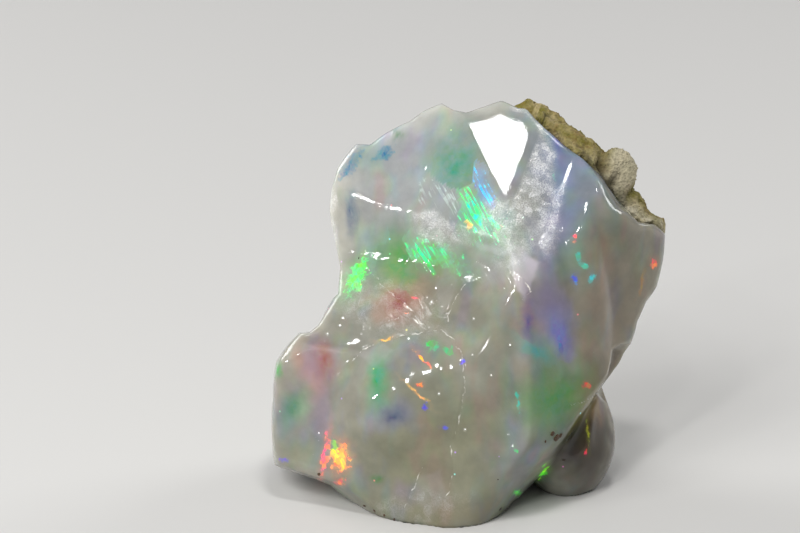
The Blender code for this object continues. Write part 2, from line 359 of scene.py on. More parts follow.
def front_spot(across, up):
    """Place and outward direction of the front surface, in upright millimetres."""
    corners = [(across, up), (across + NEARBY, up), (across, up + NEARBY)]
    here, right, above = [to_stone(np.array([a, u, front_depth(a, u)])) for a, u in corners]
    return here, unit(np.cross(right - here, above - here))


print("mirror facet:", [part.round(2).tolist() for part in front_spot(3.2, 13.5)])

# %% [markdown]
# ## The skin of the opal
# The skin is a cube whose faces are cut into a fine grid and blown up into a ball, because its
# quads stay even, where a globe's crowd at the poles. The ball's middle is shifted before the
# directions are taken, so the front gets finer quads than the back. Each vertex then goes out to
# the reach of the stone in its own direction.

# %% A ball of directions
SKIN_CUTS = 122
FRONT_SHARE = 0.42


def blown_cube(cuts):
    ball = bmesh.new()
    bmesh.ops.create_cube(ball, size=2.0)
    bmesh.ops.subdivide_edges(ball, edges=ball.edges[:], cuts=cuts, use_grid_fill=True)
    spread = np.array([vertex.co for vertex in ball.verts])
    spread = np.tan(spread * math.pi / 4)
    spread /= np.linalg.norm(spread, axis=1)[:, None]
    spread[:, 2] -= FRONT_SHARE
    spread /= np.linalg.norm(spread, axis=1)[:, None]
    return ball, spread


skin_ball, skin_facing = blown_cube(SKIN_CUTS)
skin_reach = stop_at_table(skin_facing, opal_reach(skin_facing))
print("skin quads:", len(skin_ball.faces))

# %% [markdown]
# ## Relief of the broken faces
# Opal breaks like glass. A break leaves faint ripples that spread from where it began, hairline
# ridges that run with it, and little stepped ledges where it ran out. These are too fine for the
# plain solid, so they are added here as small changes of the reach.

# %% Noise at each point
NOISE_ROUGHNESS = 0.8
WIDEST_CELL = 0.85


def sampled(points, size, octaves=3, lacunarity=2.0, seed=0.0):
    """Fractal noise at each point, from about -1 to 1, with lumps of the given size."""
    offset = Vector((seed, seed * 0.7, -seed))
    return np.array([
        noise.fractal(Vector(point) / size + offset, NOISE_ROUGHNESS, lacunarity, octaves)
        for point in points
    ])


def cell_distance(points, size, seed):
    """Distance of each point from the middle of its cell, 0 to about 1, in cells of a given size."""
    offset = Vector((seed, -seed, seed * 0.3))
    return np.array([noise.voronoi(Vector(point) / size + offset)[0][0] for point in points])


def pushed_about(points, amount, size, octaves, seeds):
    """The same points, moved a little in each direction by noise, so that shapes aren't regular."""
    moves = [sampled(points, size, octaves, seed=seed) for seed in seeds]
    return points + np.stack(moves, axis=1) * amount


print("noise at the heart:", round(float(sampled(np.zeros((1, 3)), 1.0)[0]), 3))

# %% Masks on the face


def ramp(value, low, high):
    """0 below low, 1 above high, and smooth between."""
    share = np.clip((value - low) / (high - low), 0.0, 1.0)
    return share * share * (3.0 - 2.0 * share)


def oval_away(places, middle, half, turn=0.0):
    """0 in the middle of an oval, 1 on its edge and more outside."""
    angle = math.radians(turn)
    right = places[:, 0] - middle[0]
    up = places[:, 1] - middle[1]
    along = (right * math.cos(angle) + up * math.sin(angle)) / half[0]
    beside = (-right * math.sin(angle) + up * math.cos(angle)) / half[1]
    return np.hypot(along, beside)


def oval(places, middle, half, turn=0.0, soft=0.5):
    """1 inside an oval on the face and 0 outside, with a soft rim."""
    return 1.0 - ramp(oval_away(places, middle, half, turn), 1.0 - soft, 1.0 + soft)


def line_distance(places, corners):
    """How far each place on the face is from a broken line."""
    nearest = np.full(len(places), FAR_AWAY)
    for start, end in zip(corners[:-1], corners[1:]):
        start, end = np.array(start), np.array(end)
        step = end - start
        share = np.clip((places - start) @ step / (step @ step), 0.0, 1.0)
        away = np.linalg.norm(places - start - share[:, None] * step, axis=1)
        nearest = np.minimum(nearest, away)
    return nearest


BREAK_AREAS = {
    "mirror_facet": ((3.1, 13.4), (3.4, 3.8)),
    "frosted_band": ((5.0, 11.2), (2.4, 6.0)),
}
BREAK_RIM = (0.05, 0.16)
FRONT_ENDS = (0.15, 0.35)


def on_break(points, name):
    """1 on one of the named flat breaks and 0 elsewhere, so that a finish can end at its edges."""
    normal, spot = CHUNKS["upper"][name]
    away = np.abs((points - np.array(spot)) @ unit(normal))
    return (1.0 - ramp(away, *BREAK_RIM)) * oval(points[:, :2], *BREAK_AREAS[name], soft=0.2)


skin_points = skin_facing * skin_reach[:, None]
on_front = 1.0 - ramp(skin_facing[:, 2], *FRONT_ENDS)
print("share of the skin on the front:", round(float(on_front.mean()), 2))

# %% Flutes and cracks
FLUTE_DEPTH = 0.40
FLUTE_WIDTH = 0.8
FLUTES = {
    "shoulder_crease": [(9.9, 9.6), (11.1, 4.8), (11.6, 2.0), (11.6, -0.5)],
    "inner_flute": [(7.6, 7.6), (8.3, 2.2), (8.0, -2.4)],
}
NICK_DEPTH = 0.05
NICK_WIDTH = 0.22
CRACKS = {
    "ledge_ridge": [(-6.2, 5.1), (-4.9, 3.7), (-3.2, 2.3), (-2.1, 0.9)],
    "upper_dash": [(-4.9, 1.4), (-4.0, 1.6)],
    "lower_dash": [(-3.0, 1.6), (-2.3, 1.2)],
    "ledge_hook": [(-2.8, 3.2), (-2.3, 2.3), (-2.3, 1.6)],
    "scoop_rim": [(0.7, 4.0), (-0.2, 2.8), (-0.6, 1.8), (-0.6, 1.35)],
    "dome_brow": [(-7.3, -1.4), (-6.5, -0.6), (-5.4, -0.15), (-3.9, 0.35), (-2.3, 0.65),
                  (-1.0, 0.8)],
    "dome_side": [(-1.0, 0.8), (-0.2, 0.2), (0.4, -1.0), (0.6, -2.9), (0.35, -4.7), (-0.1, -6.6)],
    "veil_tip": [(3.6, 5.3), (4.6, 4.3), (5.1, 3.5), (4.5, 2.8)],
    "veil_edge": [(1.4, 5.6), (2.7, 5.1), (3.7, 4.8)],
    # A fine nick along the band's edge; its pale crack line is a painted highlight of the ridge.
    "band_edge_highlight": [(4.5, 10.6), (3.9, 9.6), (3.3, 8.7)],
    "foot_flake": [(-2.3, -8.8), (-3.0, -10.3), (-3.5, -11.7)],
    "foot_scar": [(-0.4, -7.2), (-0.2, -8.8), (-0.4, -10.3), (-1.2, -11.3), (-1.4, -12.3)],
    "block_nick": [(-10.4, -6.2), (-9.6, -7.0)],
    "lobe_crack": [(7.6, -4.5), (8.7, -4.3), (9.9, -3.8)],
}


def flutes_and_nicks(places):
    """Broad grooves down the right side, and a fine groove along each crack."""
    from_flutes = [line_distance(places, line) for line in FLUTES.values()]
    from_cracks = [line_distance(places, line) for line in CRACKS.values()]
    flutes = sum(np.exp(-((away / FLUTE_WIDTH) ** 2)) for away in from_flutes)
    nicks = sum(1.0 - ramp(away, 0.0, NICK_WIDTH) for away in from_cracks)
    return flutes * FLUTE_DEPTH + nicks * NICK_DEPTH


print(len(FLUTES), "flutes and", len(CRACKS), "cracks")

# %% Waves, ripples and hairlines
WAVE_HEIGHT = 0.07
WAVE_SIZE = 3.6
RIPPLE_HEIGHT = 0.008
RIPPLE_PITCH = 0.62
RIPPLE_START = (-9.5, 15.5)
RIPPLE_WANDER = 0.8
RIPPLE_AREA = ((-2.5, 10.0), (7.0, 6.0))
HAIRLINE_HEIGHT = 0.02
HAIRLINE_PITCH = 0.26
HAIRLINE_TURN = math.radians(55.0)
HAIRLINE_WANDER = 0.25
HAIRLINE_AREA = ((0.6, 8.2), (4.4, 2.6), -40.0)
CALM_DOME = ((-2.6, -3.6), (4.4, 4.6))
CALMED = 0.95


def ripples(places, points):
    """Faint rings that spread from where the break began."""
    spread = np.linalg.norm(places - RIPPLE_START, axis=1)
    spread = spread + sampled(points, 5.0, 2, seed=7.0) * RIPPLE_WANDER
    rings = np.sin(spread / RIPPLE_PITCH * 2 * math.pi) * RIPPLE_HEIGHT
    return rings * oval(places, *RIPPLE_AREA)


def hairlines(places, points):
    """Sharp fine ridges, side by side, that run with the break."""
    beside = places[:, 0] * math.sin(HAIRLINE_TURN) + places[:, 1] * math.cos(HAIRLINE_TURN)
    beside = beside + sampled(points, 2.5, 2, seed=3.0) * HAIRLINE_WANDER
    ridges = np.abs(np.sin(beside / HAIRLINE_PITCH * math.pi)) ** 0.5 * HAIRLINE_HEIGHT
    return ridges * oval(places, *HAIRLINE_AREA)


print("ripples", RIPPLE_HEIGHT, "mm high, hairlines", HAIRLINE_HEIGHT, "mm")

# %% Ledges, frosted grain and shell-like dishes
LEDGE_DROP = 0.05
LEDGE_PITCH = 0.75
LEDGE_SLOPE = (0.55, 0.8)
LEDGE_WANDER = 0.9
LEDGE_AREA = ((-4.6, 2.4), (4.4, 2.0), -20.0)
FROST_HEIGHT = 0.03
FROST_GRAIN = 0.35
FROST_FOOT = ((3.4, 9.0), (2.4, 1.3), 35.0)
DISH_SIZE = 2.6
DISH_DEPTH = 0.17
DISH_FLOOR = 0.6
DISH_PATCHES = (-0.25, 0.15)


def ledges(places, points):
    """Low steps, one below the other, where the break ran out."""
    slope = places @ LEDGE_SLOPE + sampled(points, 1.8, 3, seed=5.0) * LEDGE_WANDER
    steps = slope / LEDGE_PITCH
    return (steps - np.floor(steps)) ** 2 * LEDGE_DROP * oval(places, *LEDGE_AREA)


def frosted_grain(places, points):
    crushed = np.maximum(on_break(points, "frosted_band"), oval(places, *FROST_FOOT))
    return sampled(points, FROST_GRAIN, 2, seed=11.0) * FROST_HEIGHT * crushed


def shell_breaks(points):
    """Shallow dishes with sharp rims, as glassy stone breaks."""
    spots = pushed_about(points, 0.5, 2.0, 2, (3.0, 5.0, 8.0))
    dishes = (cell_distance(spots, DISH_SIZE, 21.0) / WIDEST_CELL) ** 2 - DISH_FLOOR
    return dishes * ramp(sampled(points, 5.0, 2, seed=91.0), *DISH_PATCHES) * DISH_DEPTH


print("ledges", LEDGE_DROP, "mm high, dishes", DISH_DEPTH, "mm deep")

# %% All relief on the skin
TABLE_FADE = (0.05, 0.6)


def face_relief(points, front):
    """Small changes of the reach, in millimetres, that the breaks left."""
    places = points[:, :2]
    smooth = np.maximum(on_break(points, "mirror_facet"), oval(places, *CALM_DOME))
    waves = sampled(points, WAVE_SIZE, 3) * WAVE_HEIGHT
    lines = (ripples(places, points) - hairlines(places, points)) * front
    grain = frosted_grain(places, points) * front * (1 - smooth)
    marks = (ledges(places, points) + flutes_and_nicks(places)) * front
    hidden = shell_breaks(points) * (1.0 - front)
    return (waves + lines) * (1.0 - CALMED * smooth) + grain + hidden - marks


def settle_edge(relief, points):
    """No relief right at the table, so the base stays flat."""
    height = to_stone(points)[:, 2]
    return relief * ramp(height, *TABLE_FADE)


skin_relief = settle_edge(face_relief(skin_points, on_front), skin_points)
skin_reach = stop_at_table(skin_facing, skin_reach + skin_relief)
skin_points = skin_facing * skin_reach[:, None]
print("relief from", round(float(skin_relief.min()), 2), "to", round(float(skin_relief.max()), 2), "mm")

# %% [markdown]
# ## Body colour
# Milky opal isn't one colour. This one is a cool grey near the top, olive where it is thicker,
# brown towards the right and nearly clear brown in the small lobe at its lower right. Broad soft
# washes are laid over each other like thin paint, each with a place, a size and a colour as it
# looks under the lamp. The pale washes on the thin left and top edges and on the lobe's rim are
# painted light, the glow where light shines through thin opal. All are kept on the mesh as a
# colour for each vertex.

# %% Washes of body colour
BODY = (110, 110, 102)
# Painted light: the pale washes on the left and top edges and on the lobe's rim stand for light shining
# through the thin opal.
WASHES = {
    "cool_top": ((-3.9, 12.0), (6.0, 5.0), 0, (122, 124, 127), 0.9),
    "left_edge_glow": ((-8.5, 8.9), (1.5, 4.0), 0, (150, 148, 140), 0.7),
    "top_edge_glow": ((-1.8, 16.3), (5.5, 1.2), 10, (142, 142, 137), 0.7),
    "slate_shoulder": ((8.5, 12.0), (3.2, 5.0), 25, (84, 98, 118), 0.9),
    "brown_right": ((11.0, 3.5), (3.8, 6.5), 0, (94, 85, 70), 0.9),
    "grey_shoulder": ((13.8, 6.7), (1.6, 3.4), 0, (98, 95, 80), 0.7),
    "olive_middle": ((-1.0, 2.8), (5.5, 2.8), 0, (98, 94, 77), 0.7),
    "olive_foot": ((-1.8, -8.2), (5.8, 5.4), 0, (92, 91, 68), 0.9),
    "grey_block": ((-10.3, -4.0), (3.4, 5.2), 0, (112, 108, 99), 0.9),
    "grey_panel": ((3.9, -1.5), (2.6, 6.5), 0, (99, 99, 88), 0.8),
    "warm_right": ((10.0, 0.0), (2.4, 2.8), 0, (106, 95, 84), 0.6),
    "dark_lobe": ((9.3, -7.0), (2.6, 4.2), 0, (44, 37, 26), 1.4),
    "orange_lobe_top": ((9.0, -4.3), (1.6, 1.5), 0, (128, 88, 56), 0.6),
    "lobe_rim_glow": ((11.4, -6.3), (0.4, 3.4), 6, (112, 108, 94), 0.6),
    "dark_foot": ((-1.0, -12.6), (6.5, 1.4), 0, (88, 81, 57), 0.7),
    "veil": ((3.7, 5.6), (1.9, 2.6), -30, (128, 124, 128), 0.7),
    "veil_wedge": ((4.7, 5.6), (0.55, 1.2), 20, (158, 150, 158), 0.8),
    "violet_ridge": ((6.8, 9.5), (1.1, 5.5), 0, (88, 92, 128), 0.6),
    "violet_panel": ((6.3, 1.8), (1.2, 2.6), 0, (102, 88, 130), 0.6),
    "blue_panel": ((7.4, 0.6), (1.2, 1.6), 20, (88, 98, 142), 0.55),
    "pink_panel": ((4.6, 0.4), (0.9, 3.0), 10, (128, 98, 94), 0.45),
    "teal_panel": ((5.2, -0.7), (1.6, 0.9), -35, (78, 122, 120), 0.5),
    "green_right": ((8.4, 6.4), (1.0, 1.9), 0, (78, 114, 96), 0.5),
    "pink_right": ((10.0, 5.6), (0.8, 2.6), 0, (126, 98, 84), 0.45),
    "green_low": ((6.7, -4.0), (2.6, 2.2), 25, (76, 114, 70), 0.6),
    "blue_low": ((4.0, -8.0), (1.2, 2.2), 0, (92, 96, 118), 0.4),
    "pink_middle": ((-4.0, 2.8), (1.4, 1.6), 0, (146, 100, 86), 0.55),
    "green_middle": ((-4.6, 6.0), (1.2, 2.2), 0, (88, 128, 74), 0.55),
    "pink_block": ((-9.4, -1.6), (1.3, 1.5), 0, (156, 106, 98), 0.6),
    "violet_block": ((-9.2, -5.0), (0.9, 2.6), 0, (110, 92, 116), 0.55),
    "green_block": ((-11.3, -4.6), (0.9, 1.4), -20, (88, 128, 98), 0.6),
    "blue_dome": ((-4.3, -5.0), (1.5, 1.2), 0, (90, 94, 130), 0.5),
    "green_dome": ((-5.4, -2.8), (0.8, 1.8), 0, (76, 128, 96), 0.6),
    "violet_foot": ((-3.4, -10.3), (1.1, 0.9), 0, (108, 90, 114), 0.45),
}
print(len(WASHES), "washes")

# %% Veils of paler milk
VEILS = {
    "wedge": ([(3.5, 6.4), (4.6, 6.2), (5.8, 5.5), (5.5, 4.6), (4.75, 2.8), (4.0, 3.5),
               (3.75, 5.0)], 0.5),
    "sliver": ([(1.1, 7.1), (3.7, 6.4), (3.5, 5.8), (1.7, 6.3)], 0.35),
    "scoop": ([(-1.0, 5.4), (0.6, 4.1), (-0.2, 2.8), (-0.6, 1.4), (-1.3, 1.6), (-1.5, 3.6)], 0.10),
    "dome_flake": ([(-7.2, -1.0), (-5.3, 0.1), (-4.2, -0.6), (-5.6, -1.9)], 0.12),
    "foot_flake": ([(-3.2, -9.6), (-1.0, -8.8), (-0.4, -11.0), (-2.2, -12.4)], 0.12),
}
VEIL_COLOUR = (150, 145, 152)
VEIL_WANDER = 0.15
VEIL_RIM = (-0.05, 0.25)


def linear(colour):
    """Display colour, 0 to 255, to the linear values that a renderer works in."""
    share = np.array(colour, dtype=float) / 255.0
    return np.where(share <= 0.04045, share / 12.92, ((share + 0.055) / 1.055) ** 2.4)


def wandered(places, points, amount, size, seed):
    """The same places, pushed about a little so that painted edges aren't smooth ovals."""
    right = sampled(points, size, 3, seed=seed) * amount
    up = sampled(points, size, 3, seed=seed + 19.0) * amount
    return places + np.stack([right, up], axis=1)


def enclosed(places, corners):
    """1 inside a polygon whose corners go clockwise, and 0 outside, with a fairly crisp rim."""
    depth = np.full(len(places), FAR_AWAY)
    for start, end in zip(corners, corners[1:] + corners[:1]):
        step = unit(np.subtract(end, start))
        depth = np.minimum(depth, (places - start) @ np.array([step[1], -step[0]]))
    return ramp(depth, *VEIL_RIM)


print(len(VEILS), "veils")

# %% Faint rainbow haze
HAZE = [
    (150, 120, 170), (110, 125, 175), (100, 150, 160),
    (110, 150, 110), (140, 140, 95), (165, 120, 110),
]
HAZE_STRENGTH = 0.22
HAZE_SIZE = 2.6
HAZE_PATCH_SIZE = 0.6 * HAZE_SIZE
HAZE_PATCHES = (-0.3, 0.5)
HAZE_SWING = 0.6
HAZE_SQUEEZE = np.array([1.0, 0.45, 1.0])


def add_haze(tone, points):
    """Faint rainbow clouds that drift through the milk all over the stone."""
    upright = points * HAZE_SQUEEZE
    drift = sampled(upright, HAZE_SIZE, 3, seed=61.0)
    patches = ramp(sampled(upright, HAZE_PATCH_SIZE, 3, seed=71.0), *HAZE_PATCHES)
    share = patches[:, None] * HAZE_STRENGTH
    palette = np.array([linear(colour) for colour in HAZE])
    stops = np.linspace(-HAZE_SWING, HAZE_SWING, len(HAZE))
    hue = np.stack([np.interp(drift, stops, palette[:, channel]) for channel in range(3)], axis=1)
    hue *= (tone.sum(axis=1) / hue.sum(axis=1))[:, None]
    return tone * (1 - share) + hue * share


print("haze runs through", len(HAZE), "colours")

# %% Lay the washes, the haze and the veils
WASH_COVER = 0.72
WASH_SOFTNESS = 0.7
WASH_EDGE_WANDER = 0.9
HIDDEN_WASH = 0.25
CLOUD_SIZE = 2.2
CLOUD_STRENGTH = 0.12
LIT_UP = 1.9


def lay_washes(points, front):
    places = wandered(points[:, :2], points, WASH_EDGE_WANDER, 3.0, 2.0)
    tone = np.tile(linear(BODY), (len(points), 1))
    for middle, half, turn, colour, strength in WASHES.values():
        cover = strength * WASH_COVER * (HIDDEN_WASH + (1.0 - HIDDEN_WASH) * front)
        share = (oval(places, middle, half, turn, WASH_SOFTNESS) * cover)[:, None]
        tone = tone * (1 - share) + linear(colour) * share
    clouds = 1.0 + sampled(points, CLOUD_SIZE, 4, seed=13.0) * CLOUD_STRENGTH
    tone = add_haze(tone * clouds[:, None], points)
    straight = wandered(points[:, :2], points, VEIL_WANDER, 1.0, 83.0)
    for corners, strength in VEILS.values():
        share = (enclosed(straight, corners) * strength * front)[:, None]
        tone = tone * (1 - share) + linear(VEIL_COLOUR) * share
    return tone * LIT_UP


skin_tone = lay_washes(skin_points, on_front)
print("mean body colour:", skin_tone.mean(axis=0).round(3).tolist())

# %% [markdown]
# ## Play of colour
# The flashes come from silica spheres packed in tiny regular stacks. Each stack mirrors one pure
# colour, so a flash has a crisp outline and fades or jumps as the stone turns. Modelling the
# spheres is hopeless, so each flash is painted where it is seen: a place, a size, a turn, a
# colour, a strength and how streaky it is. Seeded flashes finish the sides and the back.

# %% Flashes of colour on the front
FLASHES = {
    "teal_corner": ((-7.4, 12.4), (1.7, 0.55), 50, (0, 112, 150), 0.68, 0.3),
    "teal_top": ((-5.0, 13.1), (1.0, 0.5), 30, (0, 122, 150), 0.64, 0.3),
    "blue_left": ((-7.3, 9.1), (0.4, 1.4), 0, (20, 100, 150), 0.6, 0.3),
    "green_rim": ((-4.0, 14.5), (0.4, 0.35), 0, (40, 160, 90), 0.5, 0.0),
    "green_field": ((0.0, 12.2), (1.7, 2.4), 0, (70, 185, 140), 0.6, 0.2),
    "cyan_streak": ((1.8, 10.8), (2.5, 0.6), -70, (0, 175, 240), 1.5, 1.0),
    "green_streaks": ((1.3, 8.9), (3.1, 1.6), -50, (0, 228, 130), 1.45, 1.0),
    "green_patch": ((-1.9, 6.0), (2.9, 1.2), -18, (0, 220, 118), 1.3, 0.85),
    "green_dots": ((-1.7, 5.1), (1.6, 0.6), -10, (10, 215, 90), 0.8, 1.0),
    "olive_field": ((-3.8, 5.5), (1.4, 2.0), 0, (105, 190, 90), 0.6, 0.0),
    "amber_core": ((0.8, 8.1), (0.7, 0.22), -50, (255, 200, 60), 1.5, 0.7),
    "red_speck": ((3.0, 8.0), (0.16, 0.2), 0, (255, 90, 80), 0.9, 0.0),
    "ridge_green": ((6.9, 11.5), (0.13, 0.32), 0, (60, 200, 150), 0.7, 0.0),
    "red_dash": ((-2.9, 3.0), (0.34, 0.12), -48, (255, 90, 60), 1.1, 0.0),
    "red_dash_low": ((-3.5, 2.0), (0.26, 0.12), -30, (255, 110, 70), 0.9, 0.0),
    "pink_dash": ((-1.9, -1.6), (0.36, 0.13), -40, (255, 110, 90), 1.0, 0.0),
    "brow_green": ((-0.6, -0.6), (0.5, 0.3), -30, (60, 190, 110), 0.7, 0.6),
    # Painted highlight: a silvery glow where the fine scratches catch the lamp.
    "scratch_glints": ((-0.7, 9.8), (2.4, 1.5), -30, (195, 210, 205), 0.63, 1.0),
    "left_green": ((-6.9, 4.6), (1.8, 0.7), 62, (0, 250, 90), 1.3, 0.5),
    "soft_red": ((-3.9, 2.6), (0.8, 1.2), 10, (200, 110, 85), 0.42, 0.8),
    "gold_line": ((-5.0, 0.1), (0.6, 0.13), 15, (255, 190, 40), 1.2, 0.0),
    "orange_line": ((-2.4, -1.1), (0.75, 0.15), -50, (255, 150, 40), 1.1, 0.0),
    "green_by_line": ((-1.7, -0.3), (0.5, 0.45), 0, (20, 200, 90), 0.8, 0.4),
    "dome_green": ((-5.4, -2.8), (0.5, 1.3), 8, (60, 195, 130), 0.6, 0.3),
    "orange_dot": ((-2.6, -3.0), (0.28, 0.26), 0, (255, 120, 50), 0.9, 0.0),
    "gold_dashes": ((-2.8, -3.5), (1.3, 0.13), -43, (255, 200, 90), 1.0, 0.6),
    "violet_middle": ((-2.1, -4.5), (0.2, 0.26), 0, (80, 60, 215), 0.75, 0.0),
    "violet_high": ((0.5, -1.4), (0.15, 0.36), 0, (80, 60, 230), 0.9, 0.0),
    "violet_low": ((-0.85, -5.9), (0.22, 0.26), 30, (90, 70, 220), 0.8, 0.0),
    "violet_corner": ((-12.1, -8.5), (0.35, 0.22), 0, (90, 70, 210), 0.7, 0.0),
    "dome_blue": ((-4.3, -5.2), (0.8, 0.6), 0, (125, 130, 190), 0.28, 0.5),
    "soft_pink": ((-9.2, -1.2), (0.6, 1.1), 0, (215, 128, 112), 0.45, 0.9),
    "far_left_green": ((-12.5, -2.1), (0.25, 0.6), 0, (30, 190, 80), 0.6, 0.0),
    "block_green": ((-11.5, -4.7), (0.5, 0.8), -20, (80, 180, 130), 0.42, 0.8),
    "red_line": ((-9.2, -8.0), (1.95, 0.26), 80, (250, 50, 60), 1.5, 0.3),
    "fire_patch": ((-8.1, -8.2), (0.75, 1.15), 0, (255, 140, 20), 2.2, 0.5),
    "fire_green": ((-8.5, -7.3), (0.3, 0.35), 0, (140, 230, 30), 1.0, 0.3),
    "red_corner": ((-8.15, -9.9), (0.45, 0.32), 0, (250, 45, 45), 1.0, 0.5),
    "red_spot": ((8.3, 7.2), (0.18, 0.32), 0, (255, 80, 50), 1.2, 0.0),
    "teal_upper": ((8.4, 6.0), (0.32, 0.4), 0, (20, 190, 170), 0.8, 0.5),
    "teal_middle": ((8.9, 5.3), (0.5, 0.3), -40, (20, 200, 180), 0.9, 0.3),
    "teal_lower": ((9.4, 4.4), (0.3, 0.42), 0, (20, 190, 200), 0.8, 0.3),
    "blue_lower": ((8.3, 4.3), (0.26, 0.55), 0, (30, 110, 225), 0.7, 0.3),
    "shoulder_red": ((14.0, 5.5), (0.32, 0.42), 0, (240, 110, 60), 0.8, 0.0),
    "shoulder_line": ((13.1, 4.0), (0.8, 0.13), 75, (220, 160, 40), 0.6, 0.3),
    "violet_top": ((7.2, 14.0), (0.35, 0.65), -10, (90, 80, 215), 0.6, 0.0),
    "panel_purple": ((4.9, 1.4), (0.5, 1.9), 0, (132, 118, 190), 0.42, 0.0),
    "panel_blue": ((7.2, 0.3), (0.6, 1.5), 20, (112, 122, 226), 0.6, 0.0),
    "panel_teal": ((5.4, -0.6), (1.4, 0.4), -35, (60, 185, 175), 0.6, 0.5),
    "panel_line": ((4.3, -4.0), (0.2, 1.0), 8, (20, 180, 150), 0.7, 0.0),
    "green_zone": ((6.9, -3.9), (2.3, 1.7), 25, (84, 172, 92), 0.5, 0.9),
    "zone_blue": ((7.3, -0.4), (0.3, 0.6), 0, (60, 110, 225), 0.55, 0.0),
    "lime_spot": ((6.2, -9.2), (0.6, 0.32), 60, (120, 240, 20), 1.1, 0.3),
    "lime_foot": ((4.3, -10.7), (0.32, 0.28), 0, (50, 205, 50), 0.8, 0.4),
    "green_dash": ((4.1, -7.6), (0.14, 0.32), 0, (40, 210, 90), 0.8, 0.0),
    "lobe_red": ((9.1, -3.0), (0.4, 0.36), 0, (215, 70, 50), 0.7, 0.0),
    "lobe_yellow": ((9.3, -6.4), (0.11, 1.25), 3, (190, 195, 50), 0.7, 0.6),
    "lobe_red_dash": ((9.2, -7.8), (0.12, 0.3), 0, (240, 60, 50), 0.9, 0.0),
    "dome_foot_green": ((-5.5, -9.6), (0.36, 0.3), 0, (40, 165, 60), 0.5, 0.2),
}
# Painted highlights: each glint is a small white spot that glows, standing for the lamp caught in a
# tiny pit.
PAINTED_GLINTS = [
    (3.7, -0.2), (2.4, -2.3), (3.6, -6.4), (3.9, -7.2), (1.1, -0.9), (-7.9, 1.6), (-8.1, 1.1),
    (-6.6, 0.5), (-9.0, 0.5), (-5.9, 6.0), (-6.2, 5.1), (-9.6, -6.5), (3.3, 3.7), (0.6, -6.1),
    (-3.3, 0.2), (-1.2, -3.6), (4.6, 8.6), (1.2, 1.6), (-4.4, 14.6), (-2.1, 12.1),
]
print(len(FLASHES), "flashes and", len(PAINTED_GLINTS), "glints on the front")

# %% Lay the flashes on the skin
GLINT_SEED = 3
GLINT_SIZE = (0.06, 0.11)
GLINT_LIGHT = 1.3
GLINT_OVER = 0.3
FLASH_WANDER = 0.22
SOFT_BELOW = 0.62
SOFT_SHARE = 0.72
CRISP_SHARE = 0.82


def inside_share(away, front):
    """1 in the middle of a flash, one half on its edge and 0 at twice its size."""
    return np.clip(1.0 - away / 2, 0.0, 1.0) * front


def lay_flashes(points, front):
    """For each vertex, its flash's colour, how far inside it lies, how crisp and how streaky it is."""
    places = wandered(points[:, :2], points, FLASH_WANDER, 0.7, 23.0)
    fire = np.zeros((len(points), 3))
    inside, crisp, streak = (np.zeros(len(points)) for _ in range(3))
    for middle, half, turn, colour, strength, streaky in FLASHES.values():
        share = inside_share(oval_away(places, middle, half, turn), front)
        nearer = share > inside
        inside[nearer] = share[nearer]
        soft = strength < SOFT_BELOW
        fire[nearer] = linear(colour) * strength * (SOFT_SHARE if soft else CRISP_SHARE)
        crisp[nearer] = 0.0 if soft else 1.0
        streak[nearer] = streaky
    # Painted highlights: the glints are laid as white glowing spots over the weaker flashes.
    chance = random.Random(GLINT_SEED)
    for middle in PAINTED_GLINTS:
        half = (chance.uniform(*GLINT_SIZE), chance.uniform(*GLINT_SIZE))
        share = inside_share(oval_away(points[:, :2], middle, half), front)
        nearer = share > np.maximum(inside, GLINT_OVER)
        inside[nearer] = share[nearer]
        crisp[nearer] = 1.0
        streak[nearer] = 0.0
        fire[nearer] = GLINT_LIGHT
    return fire, inside, crisp, streak


skin_fire, skin_inside, skin_crisp, skin_streak = lay_flashes(skin_points, on_front)
print("share of the skin inside a flash:", round(float((skin_inside > 0.5).mean()), 3))

# %% Seeded flashes on the sides and the back
HIDDEN_SEED = 17
HIDDEN_COUNT = 64
HIDDEN_COLOURS = [(10, 215, 110), (20, 180, 190), (30, 100, 215), (90, 70, 210), (230, 90, 50),
                  (240, 170, 40), (60, 160, 60)]
HIDDEN_SIZE = (0.25, 1.2)
HIDDEN_LIGHT = (0.25, 0.85)
HIDDEN_STREAK = (0.2, 1.0)
HIDDEN_CRISP_SHARE = 0.65
HIDDEN_RAGGED = 0.45
FLASH_STRETCH = 0.65


def lay_hidden_flashes(points, fire, inside, crisp, streak, front):
    chance = random.Random(HIDDEN_SEED)
    ragged = pushed_about(points, HIDDEN_RAGGED, 0.8, 3, (31.0, 37.0, 43.0))
    for _ in range(HIDDEN_COUNT):
        facing = unit([chance.uniform(-1, 1), chance.uniform(-0.8, 1), chance.uniform(-0.1, 1)])
        middle = facing * float(opal_reach(facing[None, :])[0])
        size = chance.uniform(*HIDDEN_SIZE)
        grain = unit([chance.uniform(-1, 1), chance.uniform(-1, 1), 0.3])
        along = (ragged - middle) @ grain
        away = np.linalg.norm(ragged - middle - FLASH_STRETCH * along[:, None] * grain, axis=1)
        share = inside_share(away / size, 1.0)
        colour = linear(chance.choice(HIDDEN_COLOURS)) * chance.uniform(*HIDDEN_LIGHT)
        nearer = share * (1.0 - front) > inside
        inside[nearer] = share[nearer]
        fire[nearer] = colour
        crisp[nearer] = float(chance.random() < HIDDEN_CRISP_SHARE)
        streak[nearer] = chance.uniform(*HIDDEN_STREAK)


lay_hidden_flashes(skin_points, skin_fire, skin_inside, skin_crisp, skin_streak, on_front)
print(HIDDEN_COUNT, "flashes on the sides and the back")

# %% [markdown]
# ## Frost
# Where a break crushed the surface it is dull and whitish: the band beside the mirror facet, the
# fold of the upper face, the stepped ledges and the cracks. A frost value on each vertex makes
# those places rougher and paler in the material.

